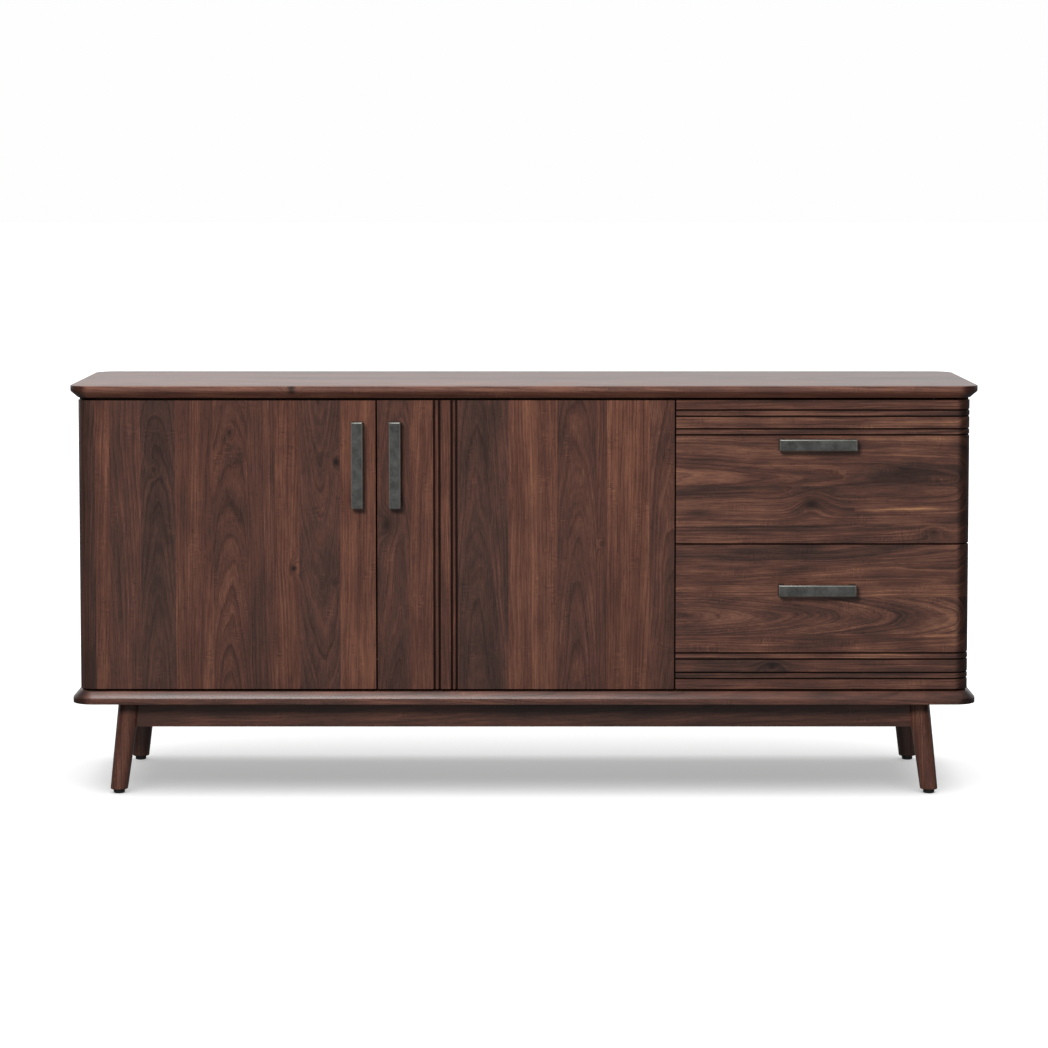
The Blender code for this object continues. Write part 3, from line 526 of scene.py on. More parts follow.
def black_steel(name):
    """Turned steel, black oxide and oil: nearly black with a dull metal gleam."""
    material, tree, shader = new_material(name)
    where = put(tree, "TexCoord").outputs["Object"]
    cloud = noise(tree, where, 1 / (3 * MM), 3.0, 0.6)
    colour = ramp(tree, cloud, [(0.3, "#1c1b1b"), (0.7, "#2b2a29")])
    tree.links.new(colour, shader.inputs["Base Color"])
    shader.inputs["Metallic"].default_value = 1.0
    shader.inputs["Roughness"].default_value = 0.42
    return material


def moulded_black(name):
    """Polypropylene, injection moulded in black with a fine spark-eroded texture."""
    material, tree, shader = new_material(name)
    where = put(tree, "TexCoord").outputs["Object"]
    texture = noise(tree, where, 1 / (0.8 * MM), 2.0, 0.5)
    colour = ramp(tree, texture, [(0.3, "#0d0d0d"), (0.7, "#191919")])
    tree.links.new(colour, shader.inputs["Base Color"])
    shader.inputs["Roughness"].default_value = 0.48
    shader.inputs["IOR"].default_value = 1.49
    bump = put(tree, "Bump", {"Height": texture, "Strength": 0.2, "Distance": 0.05 * MM})
    tree.links.new(bump.outputs[0], shader.inputs["Normal"])
    return material


WALNUT = walnut("walnut_dark_lacquered", WALNUT_TONES, 0.36, 0.20)
# the grooves' walnut is painted shade, far darker than the faces
GROOVE_SHADE_WALNUT = walnut("walnut_groove_painted_shade", GROOVE_SHADE_TONES, 0.55, 0.0)
WALNUT_INSIDE = walnut("walnut_inside_lacquered", INSIDE_TONES, 0.52, 0.08)
VENEER = walnut("walnut_veneer_on_plywood", INSIDE_TONES, 0.58, 0.0)
PEWTER = gunmetal("gunmetal_aged", "#6a6b69", "#a1a29e", 0.46)
# paler finish for the handles' chamfers: rubbed wear and a painted sheen standing in for their reflections
PEWTER_WEAR_AND_SHEEN = gunmetal("gunmetal_rubbed_and_sheen_edge", "#a3a29c", "#c2c1ba", 0.42)
BLACK_STEEL = black_steel("steel_black_oxide")
ZINC = zinc_plate("steel_zinc_plated")
BLACK = moulded_black("polypropylene_black_moulded")


# ------------------------------------------------------------------ boards
def edge_board(name, bevelled_top):
    """A thick board with round corners, one face bevelled back, every arris sanded."""
    low, high = span(name)
    bm = block(low, high)
    upright = [e for e in bm.edges if abs(e.verts[0].co.z - e.verts[1].co.z) > MM]
    soften(bm, upright, BOARD_CORNER, 16)
    face_z = high.z if bevelled_top else low.z
    rim = [e for e in bm.edges if all(abs(v.co.z - face_z) < 1e-6 for v in e.verts)]
    soften(bm, rim, BOARD_BEVEL[0], 1)
    inward = -1 if bevelled_top else 1
    shoulder = face_z + inward * BOARD_BEVEL[1]
    for vertex in bm.verts:
        if abs(vertex.co.z - face_z - inward * BOARD_BEVEL[0]) < 1e-6:
            vertex.co.z = shoulder
    nose = [e for e in bm.edges if all(abs(v.co.z - shoulder) < 1e-6 for v in e.verts)]
    rims = [e for e in crisp_edges(bm) if e not in nose and abs(e.verts[0].co.z - e.verts[1].co.z) < 1e-6]
    soften(bm, nose, NOSE, 5)
    rims = [e for e in rims if e.is_valid]
    soften(bm, rims, ARRIS, 3)
    return bm


def add_boards():
    staves = [(-0.118, 0.06, 0.6, 30 * MM, 60 * MM, 0.035, [(-0.2185, -0.458, 9 * MM, 12 * MM, 0.9)]),
              (-0.030, 0.06, 0.7, 55 * MM, 60 * MM, 0.03), (0.065, -0.04, 0.2, 0.0, 60 * MM, -0.04),
              (0.152, 0.05, 0.6, -60 * MM, 60 * MM, 0.03), (0.240, -0.02, 0.3, 0.0, 60 * MM, 0.05)]
    top = lay_grain(edge_board("top_board", False), "top_board", X, Y, Z, staves, -0.80)
    top = add_piece("top_board_walnut", top, "cabinet", WALNUT, ["top_board"], 2.0 * MM)
    staves = [(-0.130, -0.07, 0.2, 50 * MM, 60 * MM, 0.03), (-0.020, 0.03, 0.6, 0.0, 60 * MM, -0.05),
              (0.110, -0.03, 0.4, -55 * MM, 60 * MM, 0.03), (0.240, 0.04, 0.6, 10 * MM, 60 * MM, 0.04)]
    base = lay_grain(edge_board("base_board", True), "base_board", X, Y, Z, staves, -0.20)
    base = add_piece("base_board_walnut", base, "cabinet", WALNUT, ["base_board"],
                     2.0 * MM)
    return [top, base]


def add_side_panels():
    for side, sign in (("left", -1), ("right", 1)):
        node = f"side_panel_{side}"
        low, high = span(node)
        outer = low.x if sign < 0 else high.x
        inner = high.x if sign < 0 else low.x
        centre = (outer - sign * PANEL_BACK_ROUND, high.y - PANEL_BACK_ROUND)
        first = 180 if sign < 0 else 0
        outline = [(inner, low.y), (outer, low.y)]
        outline += arc(centre, PANEL_BACK_ROUND, PANEL_BACK_ROUND, first, 90, 12) + [(inner, high.y)]
        bm = prism(outline, low.z, high.z)
        soften(bm, crisp_edges(bm), FINE_ARRIS, 2)
        lay_grain(bm, node, Z, Y, X, None, sign * -0.87)
        add_piece(f"{node}_walnut", bm, "cabinet", WALNUT, [node])


def add_plain_boards():
    """Inside boards that are plain rectangles with sanded arrises."""
    boards = (("divider_panel", Z, Y, X, WALNUT_INSIDE, "walnut_inside"),
              ("shelf", X, Y, Z, WALNUT_INSIDE, "walnut_inside"),
              ("drawer_rail", X, Y, Z, WALNUT_INSIDE, "walnut_inside"),
              ("back_panel_left", Z, X, Y, VENEER, "plywood"),
              ("back_panel_right", Z, X, Y, VENEER, "plywood"))
    for node, along, across, deep, finish, slot in boards:
        low, high = span(node)
        bm = block(low, high)
        soften(bm, crisp_edges(bm), FINE_ARRIS, 2)
        lay_grain(bm, node, along, across, deep, None, -low[deep])
        add_piece(f"{node}_board", bm, "cabinet", finish, [node])


def add_top_rail():
    """The flat rail over the doors, one corner cut off where the left door's thick end turns."""
    low, high = span("top_rail")
    bm = prism([(low.x + RAIL_CORNER, low.y), (high.x, low.y), (high.x, high.y), (low.x, high.y),
                (low.x, low.y + RAIL_CORNER)], low.z, high.z)
    soften(bm, crisp_edges(bm), FINE_ARRIS, 2)
    lay_grain(bm, "top_rail", X, Y, Z, None, -low.z)
    add_piece("top_rail_board", bm, "cabinet", WALNUT_INSIDE, ["top_rail"])


# ------------------------------------------------------------------ doors
def left_door():
    low, high = span("door_left")
    back = low.y + FRONT_THICKNESS
    block_inner = low.x + END_BLOCK
    outline = [(high.x, low.y), (high.x, back), (block_inner, back)]
    outline += arc((block_inner - END_BLOCK_ROUND, high.y - END_BLOCK_ROUND), END_BLOCK_ROUND,
                   END_BLOCK_ROUND, 0, 90, 8)
    outline += arc((low.x + PIVOT_INSET, high.y - PIVOT_INSET), PIVOT_INSET, PIVOT_INSET, 90, 180, 16)[:-1]
    outline += arc((low.x + END_ROUND[0], low.y + END_ROUND[1]), *END_ROUND, 180, 270, 28)
    bm = prism(outline, low.z, high.z)
    soften(bm, crisp_edges(bm), FINE_ARRIS, 2)
    # the first stave, over the rounded outer end, is darker: partly the wood's own tone, partly painted
    # shade of the turned-away end
    staves = [(-0.8490, -0.22, 0.6, 60 * MM, 60 * MM, 0.03),
              (-0.8200, 0.02, 0.8, 60 * MM, 60 * MM, 0.03),
              (-0.7590, -0.05, 0.3, -50 * MM, 60 * MM, 0.03),
              (-0.6900, -0.15, 0.1, 0.0, 54 * MM, 0.070, [(-0.7320, 0.652, 6 * MM, 10 * MM, 0.7)],
               [(-0.725, 0.43, 20 * MM, 70 * MM, -0.06)]),
              (-0.6150, 0.02, 0.7, 60 * MM, 60 * MM, 0.02, [(-0.632, 0.479, 7 * MM, 9 * MM, 0.3)],
               [(-0.655, 0.66, 14 * MM, 70 * MM, 0.06), (-0.640, 0.44, 20 * MM, 60 * MM, 0.04)]),
              (-0.5470, -0.01, 0.6, 0.0, 52 * MM, 0.080, [(-0.5820, 0.727, 5 * MM, 8 * MM, 0.9)],
               [(-0.5900, 0.715, 9 * MM, 14 * MM, -0.12)]),
              (-0.4920, -0.03, 0.5, -60 * MM, 60 * MM, 0.02),
              (-0.4450, 0.06, 0.8, -70 * MM, 60 * MM, 0.02, [(-0.4570, 0.4560, 8 * MM, 11 * MM, 1.0)],
               [(-0.472, 0.33, 10 * MM, 80 * MM, 0.08), (-0.470, 0.66, 10 * MM, 60 * MM, 0.05)]),
              (-0.3640, -0.06, 0.2, 0.0, 54 * MM, -0.070,
               [(-0.3700, 0.4275, 8 * MM, 6 * MM, 0.35), (-0.3720, 0.6680, 9 * MM, 12 * MM, 1.0)],
               [(-0.3740, 0.4280, 16 * MM, 7 * MM, -0.14), (-0.4060, 0.6500, 10 * MM, 30 * MM, -0.10)]),
              (-0.2900, 0.11, 0.9, 75 * MM, 60 * MM, 0.02, (),
               [(-0.318, 0.30, 20 * MM, 80 * MM, 0.07)])]
    return lay_grain(bm, "door_left", Z, X, Y, staves, 0.20)


def mark_groove_shade(bm, face_y):
    """Marks the walls and floors of upright grooves for the near-black walnut that paints their shade."""
    for face in bm.faces:
        behind = face.calc_center_median().y - face_y
        if GROOVE_LIP < behind < GROOVE_DEPTH + 1e-5 and abs(face.normal.z) < 0.5:
            face.material_index = 1


def right_door():
    low, high = span("door_right")
    outline = [(low.x, high.y), (low.x, low.y)]
    for centre in DOOR_GROOVES:
        near, far = centre - DOOR_GROOVE / 2, centre + DOOR_GROOVE / 2
        outline += [(near - GROOVE_LIP, low.y), (near, low.y + GROOVE_LIP), (near, low.y + GROOVE_DEPTH),
                    (far, low.y + GROOVE_DEPTH), (far, low.y + GROOVE_LIP), (far + GROOVE_LIP, low.y)]
    outline += [(high.x, low.y), (high.x, high.y)]
    bm = prism(outline, low.z, high.z)
    rims = [e for e in crisp_edges(bm) if abs(e.verts[0].co.z - e.verts[1].co.z) < 1e-6]
    ends = [e for e in crisp_edges(bm) if e not in rims
            and min(abs(e.verts[0].co.x - x) for x in (low.x, high.x)) < 1e-6]
    soften(bm, rims + ends, FINE_ARRIS * 0.5, 2)
    staves = [(-0.2250, -0.08, 0.3, 8 * MM, 52 * MM, 0.05, [(-0.2718, 0.543, 11 * MM, 20 * MM, 0.8)]),
              (-0.1790, 0.02, 0.8, 65 * MM, 60 * MM, 0.03), (-0.1335, 0.02, 0.8, -70 * MM, 60 * MM, 0.02),
              (-0.0307, -0.10, 0.1, -8 * MM, 50 * MM, 0.055),
              (0.0663, 0.09, 0.8, -80 * MM, 60 * MM, 0.02),
              (0.1434, -0.03, 0.4, 0.0, 46 * MM, 0.065),
              (0.1640, 0.0, 0.6, 60 * MM, 50 * MM, 0.02, [(0.1559, 0.505, 6 * MM, 10 * MM, 0.6)]),
              (0.2483, 0.10, 0.9, 75 * MM, 60 * MM, 0.02),
              (0.3000, -0.02, 0.4, 20 * MM, 50 * MM, 0.05)]
    mark_groove_shade(bm, low.y)
    return lay_grain(bm, "door_right", Z, X, Y, staves, 0.20)


def strike_plate(name, door, near_x):
    """A thin steel plate on the back of a door, where the magnet meets it."""
    width, thickness = STRIKE_PLATE
    low, high = span("door_catch")
    back = span("door_right")[1].y
    bm = block((near_x, back, low.z), (near_x + width, back + thickness, high.z))
    soften(bm, crisp_edges(bm), 0.3 * MM, 2)
    add_piece(name, bm, door, ZINC)


def add_doors():
    add_piece("door_left_walnut", left_door(), "door_left", WALNUT, ["door_left"])
    add_piece("door_right_walnut", right_door(), "door_right", [WALNUT, GROOVE_SHADE_WALNUT],
              ["door_right"])
    catch_low, catch_high = span("door_catch")
    middle = (catch_low.x + catch_high.x) / 2
    from_middle = 4 * MM
    strike_plate("strike_plate_left", "door_left", middle - from_middle - STRIKE_PLATE[0])
    strike_plate("strike_plate_right", "door_right", middle + from_middle)


# ------------------------------------------------------------------ drawers
def drawer_plan(low, high, inset, end_inset):
    """Plan of a drawer front, its face cut back by inset and its plain end by end_inset."""
    centre = (high.x - END_ROUND[0], low.y + END_ROUND[1])
    side_inset = min(inset, GROOVE_END_DEPTH)
    corner = arc(centre, END_ROUND[0] - side_inset, END_ROUND[1] - inset, 270, 360, 28)
    back = low.y + FRONT_THICKNESS
    block_inner = high.x - END_BLOCK
    return [(low.x + end_inset, back - end_inset), (low.x + end_inset, low.y + inset)] + corner + [
        (high.x - side_inset, high.y - end_inset), (block_inner + end_inset, high.y - end_inset),
        (block_inner + end_inset, back - end_inset)]


def drawer_front(node, grooves, staves):
    """A front raised level by level from its plan, stepping in at each groove."""
    low, high = span(node)
    edge = FINE_ARRIS * 0.6
    levels = [(low.z, edge, edge), (low.z + edge, 0, 0)]
    for centre in sorted(grooves):
        near, far = centre - DRAWER_GROOVE / 2, centre + DRAWER_GROOVE / 2
        levels += [(near - GROOVE_LIP, 0, 0), (near, GROOVE_LIP, 0), (near, GROOVE_DEPTH, 0),
                   (far, GROOVE_DEPTH, 0), (far, GROOVE_LIP, 0), (far + GROOVE_LIP, 0, 0)]
    levels += [(high.z - edge, 0, 0), (high.z, edge, edge)]
    bm = bmesh.new()
    plan = drawer_plan(low, high, edge, edge)
    floor = bm.faces.new([bm.verts.new((across, along, low.z)) for across, along in plan])
    lid = floor
    for height, inset, end_inset in levels[1:]:
        raised = bmesh.ops.extrude_face_region(bm, geom=[lid])
        if lid is not floor:
            bmesh.ops.delete(bm, geom=[lid], context="FACES_ONLY")
        lid = next(item for item in raised["geom"] if isinstance(item, bmesh.types.BMFace))
        new_plan = drawer_plan(low, high, inset, end_inset)
        for vertex in lid.verts:
            corner = min(range(len(plan)), key=lambda i: math.dist(plan[i], vertex.co.xy))
            vertex.co = (*new_plan[corner], height)
        plan = new_plan
    bmesh.ops.recalc_face_normals(bm, faces=bm.faces)
    # the groove faces take the near-black walnut: painted shade in the grooves
    for face in bm.faces:
        height = face.calc_center_median().z
        if any(abs(height - centre) < DRAWER_GROOVE / 2 + 1e-5 for centre in grooves):
            face.material_index = 1
    return lay_grain(bm, node, X, Z, Y, staves, 0.20, DRAWER_FIGURE)


def add_drawer(level, grooves, staves):
    name = f"drawer_{level}"
    front = drawer_front(f"{name}_front", grooves, staves)
    add_piece(f"{name}_front_walnut", front, name, [WALNUT, GROOVE_SHADE_WALNUT],
              [f"{name}_front"])
    for part, along, across, deep in (("side_left", Y, Z, X), ("side_right", Y, Z, X), ("back", X, Z, Y)):
        node = f"{name}_{part}"
        low, high = span(node)
        bm = block(low, high)
        soften(bm, crisp_edges(bm), 1.5 * MM, 3)
        lay_grain(bm, node, along, across, deep, None, -low[deep])
        add_piece(f"{node}_board", bm, name, WALNUT_INSIDE, [node])
    node = f"{name}_bottom"
    low, high = span(node)
    bm = lay_grain(block(low, high), node, X, Y, Z, None, -low.z)
    add_piece(f"{node}_board", bm, name, VENEER, [node])


# ------------------------------------------------------------------ handles
def add_handle(node, body, upright):
    """A flat bar with chamfered face edges on two feet flush with its ends."""
    low, high = span(node)
    length_axis, width_axis = (Z, X) if upright else (X, Z)
    length = high[length_axis] - low[length_axis]
    width = high[width_axis] - low[width_axis]
    depth = high.y - low.y
    half, inner = length / 2, length / 2 - HANDLE_FOOT
    outline = [(-half, 0), (half, 0), (half, depth), (inner, depth), (inner, HANDLE_BAR),
               (-inner, HANDLE_BAR), (-inner, depth), (-half, depth)]
    bm = prism(outline, -width / 2, width / 2)
    rim = [e for e in bm.edges if all(abs(v.co.y) < 1e-6 for v in e.verts)]
    soften(bm, rim, HANDLE_CHAMFER, 1)
    # the chamfer faces take the paler finish: partly rubbed wear, partly painted highlight
    for face in bm.faces:
        face.material_index = 1 if face.normal.y < -0.3 and face.normal.y > -0.95 else 0
    soften(bm, crisp_edges(bm, 0.5), 0.35 * MM, 2)
    if upright:
        place(bm, (math.pi / 2, "Y"))
    middle = (low + high) / 2
    place(bm, None, (middle.x, low.y, middle.z))
    back = high.y + FRONT_THICKNESS
    for end in (-1, 1):
        at = middle.copy()
        at[length_axis] += end * (length - HANDLE_FOOT) / 2
        at.y = back
        name = f"{node}_screw_{'low' if end < 0 else 'high'}"
        radius, height, washer = HANDLE_SCREW
        add_piece(name, screw_head(radius, height, at, "+Y", washer), body, ZINC, None, FINE)
    return add_piece(f"{node}_gunmetal", bm, body, [PEWTER, PEWTER_WEAR_AND_SHEEN], [node])


# ------------------------------------------------------------------ plinth
def add_legs():
    for end in ("front", "back"):
        for side in ("left", "right"):
            node = f"leg_{end}_{side}"
            low, high = span(node)
            inward_x = 1 if side == "left" else -1
            inward_y = 1 if end == "front" else -1
            foot_x = low.x + LEG_FOOT if inward_x > 0 else high.x - LEG_FOOT
            foot_y = low.y + LEG_FOOT if inward_y > 0 else high.y - LEG_FOOT
            top_x = high.x - LEG_TOP if inward_x > 0 else low.x + LEG_TOP
            top_y = high.y - LEG_TOP if inward_y > 0 else low.y + LEG_TOP
            height = high.z - low.z
            bm = bmesh.new()
            bmesh.ops.create_cone(bm, cap_ends=True, segments=72, radius1=LEG_FOOT, radius2=LEG_TOP,
                                  depth=height)
            soften(bm, crisp_edges(bm, 1.0), LEG_ARRIS, 3)
            slopes = ((top_x - foot_x) / height, (top_y - foot_y) / height)
            for vertex in bm.verts:
                rise = vertex.co.z + height / 2
                vertex.co.x += slopes[0] * rise
                vertex.co.y += slopes[1] * rise
            place(bm, None, (foot_x, foot_y, (low.z + high.z) / 2))
            dice = random.Random(node)
            stave = [(foot_x + 1.0, dice.uniform(-0.05, 0.03), 0.6, 40 * MM, 60 * MM, 0.02)]
            lay_grain(bm, node, Z, X, Y, stave, -foot_y)
            add_piece(f"{node}_walnut", bm, "cabinet", WALNUT, [node])
            add_glide(f"glide_{end}_{side}")


def add_glide(node):
    low, high = span(node)
    radius = (high.x - low.x) / 2
    height = high.z - low.z
    profile = [(0, height), (radius - GLIDE_LIP, height), (radius, height - GLIDE_LIP)]
    profile += arc((radius - GLIDE_ROUND, GLIDE_ROUND), GLIDE_ROUND, GLIDE_ROUND, 0, -90, 6) + [(0, 0)]
    middle = (low + high) / 2
    bm = place(turned(profile, 48), None, (middle.x, middle.y, low.z))
    add_piece(f"{node}_moulded", bm, "cabinet", BLACK, [node], 3 * MM)


def add_catch_poles():
    """Two pairs of steel pole plates that stand a little out of the catch."""
    low, high = span("door_catch")
    middle = (low.x + high.x) / 2
    plates = []
    for across in (-17, -11, 11, 17):
        near = middle + (across - 0.75) * MM
        plates.append(block((near, low.y - 0.5 * MM, low.z + 1.5 * MM),
                            (near + 1.5 * MM, low.y + 4 * MM, high.z - 1.5 * MM)))
        soften(plates[-1], crisp_edges(plates[-1]), 0.2 * MM, 2)
    add_piece("catch_pole_plates", merged(*plates), "cabinet", ZINC, None, FINE)


def add_shelf_pins():
    """The pins the shelf rests on, spun smooth; profile in millimetres from the panel's face."""
    for number, facing in ((1, "+X"), (2, "+X"), (3, "-X"), (4, "-X")):
        low, high = span(f"shelf_pin_{number}")
        middle = (low + high) / 2
        face = low.x + 10 * MM if facing == "+X" else high.x - 10 * MM
        profile = [(0, 11), (1.9, 11), (2.5, 10.4), (2.5, 1.3), (3.7, 1.3), (4, 1.0), (4, 0.3), (2.5, 0.3),
                   (2.5, -10), (0, -10)]
        pin = turned([(radius * MM, height * MM) for radius, height in profile], 32)
        add_piece(f"shelf_pin_{number}_turned", pointed(pin, (face, middle.y, middle.z), facing),
                  "cabinet", ZINC, [f"shelf_pin_{number}"], FINE)


def add_slide_fittings(level):
    """Ball cages, balls and screws of the two slides of a drawer."""
    for side, toward in (("left", 1), ("right", -1)):
        outer_low, outer_high = span(f"slide_{level}_{side}_cabinet")
        web = outer_low.x if toward > 0 else outer_high.x
        height = (outer_low.z + outer_high.z) / 2
        rows = (("outer", "cabinet", 5.5 * MM, 20.28 * MM, 1.35 * MM, outer_low.y),
                ("inner", f"slides_{level}", 7.9 * MM, 16.80 * MM, 0.88 * MM,
                 span(f"slide_{level}_{side}_middle")[0].y))
        for run, body, out, rise, ball, front in rows:
            parts = []
            for up in (-1, 1):
                centre = Vector((web + toward * out, front + CAGE_START, height + up * rise))
                strip = Vector((2.0 * MM, 0, 0.2 * MM))
                cage = block(centre - strip, centre + strip + Vector((0, CAGE_LENGTH, 0)))
                soften(cage, crisp_edges(cage), 0.1 * MM, 1)
                parts.append(cage)
                for step in range(CAGE_BALLS):
                    along = CAGE_LENGTH * (step + 0.5) / CAGE_BALLS
                    sphere = bmesh.new()
                    bmesh.ops.create_icosphere(sphere, subdivisions=2, radius=ball)
                    parts.append(place(sphere, None, centre + Vector((0, along, 0))))
            add_piece(f"slide_{level}_{side}_{run}_ball_cages", merged(*parts), body, ZINC,
                      None, 2 * MM)
        inner_low, inner_high = span(f"slide_{level}_{side}_drawer")
        inner_web = inner_high.x - SLIDE_STEEL if toward > 0 else inner_low.x + SLIDE_STEEL
        away, near = ("+X", "-X") if toward > 0 else ("-X", "+X")
        for step, run in enumerate((25 * MM, 165 * MM, 325 * MM)):
            at = (web + toward * SLIDE_STEEL, outer_low.y + run, height)
            head = screw_head(SLIDE_SCREW, FLUSH_HEAD, at, away)
            add_piece(f"slide_{level}_{side}_cabinet_screw_{step + 1}", head, "cabinet", ZINC,
                      None, FINE)
            head = screw_head(SLIDE_SCREW, RAISED_HEAD, (inner_web, inner_low.y + run, height), near)
            add_piece(f"slide_{level}_{side}_drawer_screw_{step + 1}", head, f"drawer_{level}", ZINC,
                      None, FINE)


def add_back_screws(side):
    """Countersunk screws round the edge of a back panel."""
    low, high = span(f"back_panel_{side}")
    columns = max(2, round((high.x - low.x) / (190 * MM)))
    inset = 14 * MM
    spots = []
    for index in range(columns + 1):
        across = low.x + inset + (high.x - low.x - 2 * inset) * index / columns
        spots += [(across, low.z + inset), (across, high.z - inset)]
    for index in (1, 2):
        upright = low.z + inset + (high.z - low.z - 2 * inset) * index / 3
        spots += [(low.x + inset, upright), (high.x - inset, upright)]
    heads = [screw_head(PANEL_SCREW, FLUSH_HEAD, (across, high.y, upright), "+Y")
             for across, upright in spots]
    add_piece(f"back_panel_{side}_screws", merged(*heads), "cabinet", ZINC, None, FINE)


def add_aprons():
    for side, along, across in (("front", X, Z), ("back", X, Z), ("left", Y, Z), ("right", Y, Z)):
        node = f"apron_{side}"
        low, high = span(node)
        low[along] += APRON_SHY
        high[along] -= APRON_SHY
        bm = block(low, high)
        soften(bm, crisp_edges(bm), FINE_ARRIS, 2)
        deep = Y if along == X else X
        staves = [(high[across], APRON_TONE, 0.4, 30 * MM, 60 * MM, 0.03)]
        lay_grain(bm, node, along, across, deep, staves, -low[deep])
        add_piece(f"{node}_walnut", bm, "cabinet", WALNUT, [node])


# ------------------------------------------------------------------ stage
def add_stage():
    """A lit white floor that catches soft shadows but throws no glare back at the wood."""
    bm = bmesh.new()
    bmesh.ops.create_grid(bm, x_segments=1, y_segments=1, size=60.0)
    mesh = bpy.data.meshes.new("studio_floor")
    bm.to_mesh(mesh)
    bm.free()
    material, _, shader = new_material("acrylic_white_lit")
    shader.inputs["Base Color"].default_value = (0.74, 0.74, 0.74, 1.0)
    shader.inputs["Roughness"].default_value = 0.9
    shader.inputs["Specular IOR Level"].default_value = 0.0
    shader.inputs["Emission Color"].default_value = (1.0, 1.0, 1.0, 1.0)
    shader.inputs["Emission Strength"].default_value = FLOOR_GLOW
    mesh.materials.append(material)
    floor = bpy.data.objects.new("studio_floor", mesh)
    bpy.context.scene.collection.objects.link(floor)
    floor.visible_diffuse = False
    floor.visible_glossy = False
    return floor


def add_light(name, at, look_at, size, power, colour="#ffffff"):
    lamp = bpy.data.lights.new(name, "AREA")
    lamp.shape = "RECTANGLE"
    lamp.size, lamp.size_y = size
    lamp.energy = power
    lamp.color = sheet_colour(colour)[:3]
    holder = bpy.data.objects.new(name, lamp)
    bpy.context.scene.collection.objects.link(holder)
    holder.location = at
    holder.rotation_euler = (Vector(look_at) - Vector(at)).to_track_quat("-Z", "Y").to_euler()
    return holder


def light_only(lamp, objects, state):
    """Lets a lamp reach only the given objects ("INCLUDE") or all but them ("EXCLUDE")."""
    group = bpy.data.collections.new(f"{lamp.name}_reach")
    for reached in objects:
        group.objects.link(reached)
    for link in group.collection_objects:
        link.light_linking.link_state = state
    lamp.light_linking.receiver_collection = group


def add_lights(stage, boards, handles):
    """A softbox at the upper left front, a strip over the boards, a white wall behind, dark sides.

    Small cards pick out the handles' edges and the top board's edge, and a wide ceiling light
    reaches the floor alone.
    """
    world = bpy.data.worlds.new("studio")
    bpy.context.scene.world = world
    world.use_nodes = True
    tree = world.node_tree
    direction = put(tree, "TexCoord").outputs["Generated"]
    _, ahead, up = put(tree, "SeparateXYZ", {0: direction}).outputs
    overhead = put(tree, "MapRange", {"Value": up, "From Min": 0.2, "From Max": 0.6},
                   interpolation_type="SMOOTHSTEP").outputs[0]
    behind = put(tree, "MapRange", {"Value": ahead, "From Min": 0.0, "From Max": 0.7, "To Min": SIDE_LIGHT,
                                    "To Max": BACK_LIGHT}, interpolation_type="SMOOTHSTEP").outputs[0]
    front = put(tree, "MapRange", {"Value": ahead, "From Min": -0.35, "From Max": -0.95, "To Min": 0.0,
                                   "To Max": FRONT_LIGHT}, interpolation_type="SMOOTHSTEP").outputs[0]
    level = maths(tree, "ADD", behind, front)
    sky = maths(tree, "ADD", maths(tree, "MULTIPLY", level, maths(tree, "SUBTRACT", 1.0, overhead)),
                maths(tree, "MULTIPLY", overhead, OVERHEAD_LIGHT))
    above = put(tree, "MapRange", {"Value": up, "From Min": -0.03, "From Max": 0.03}).outputs[0]
    bounce = maths(tree, "ADD", front, BOUNCE_LIGHT)
    studio = maths(tree, "ADD", maths(tree, "MULTIPLY", sky, above),
                   maths(tree, "MULTIPLY", maths(tree, "SUBTRACT", 1.0, above), bounce))
    seen = put(tree, "LightPath").outputs["Is Camera Ray"]
    shown = maths(tree, "ADD", maths(tree, "MULTIPLY", seen, BACKDROP),
                  maths(tree, "MULTIPLY", maths(tree, "SUBTRACT", 1.0, seen), studio))
    tree.links.new(shown, tree.nodes["Background"].inputs["Strength"])
    tree.nodes["Background"].inputs["Color"].default_value = (1, 1, 1, 1)
    key = add_light("key_softbox", (-1.25, -5.2, 2.75), (0, -0.2, 0.5), (1.3, 1.1), KEY_WATTS)
    key.visible_glossy = False
    light_only(key, [stage], "EXCLUDE")
    strip = add_light("overhead_strip", (-0.55, -0.85, 2.8), (-0.4, -0.3, 0.3), (1.7, 0.5), STRIP_WATTS)
    light_only(strip, boards, "INCLUDE")
    for name, at, watts in (("card_left", (-2.6, -0.9, 0.6), SIDE_CARD_WATTS),
                            ("card_right", (2.9, -0.9, 0.6), SIDE_CARD_WATTS),
                            ("card_top", (0.0, -0.9, 2.8), TOP_CARD_WATTS)):
        light_only(add_light(name, at, (0, -0.23, 0.6), (1.2, 1.4), watts), handles, "INCLUDE")
    edge_card = add_light("card_edge", (0, -5.5, 0.75), (0, -0.2, 0.8), (3.5, 0.8), EDGE_CARD_WATTS)
    light_only(edge_card, boards[:1], "INCLUDE")
    sun = bpy.data.lights.new("ceiling", "SUN")
    sun.energy = FLOOR_SUN
    sun.angle = math.radians(74)
    ceiling = bpy.data.objects.new("ceiling", sun)
    bpy.context.scene.collection.objects.link(ceiling)
    ceiling.rotation_euler = (math.radians(12), 0, 0)
    light_only(ceiling, [stage], "INCLUDE")


def add_camera():
    """Stands level with the middle of the doors' width, a little above the top, lens slightly shifted."""
    top_low, _ = span("top_board")
    camera_data = bpy.data.cameras.new("camera")
    camera = bpy.data.objects.new("camera", camera_data)
    bpy.context.scene.collection.objects.link(camera)
    camera_data.lens = LENS
    camera_data.sensor_width = SENSOR
    camera_data.shift_y = LENS_SHIFT
    camera.location = (0.0, top_low.y - CAMERA_BACK, CAMERA_HEIGHT)
    camera.rotation_euler = (math.radians(90 - CAMERA_TILT), 0, 0)
    bpy.context.scene.camera = camera
    bpy.context.scene.view_settings.view_transform = "Standard"


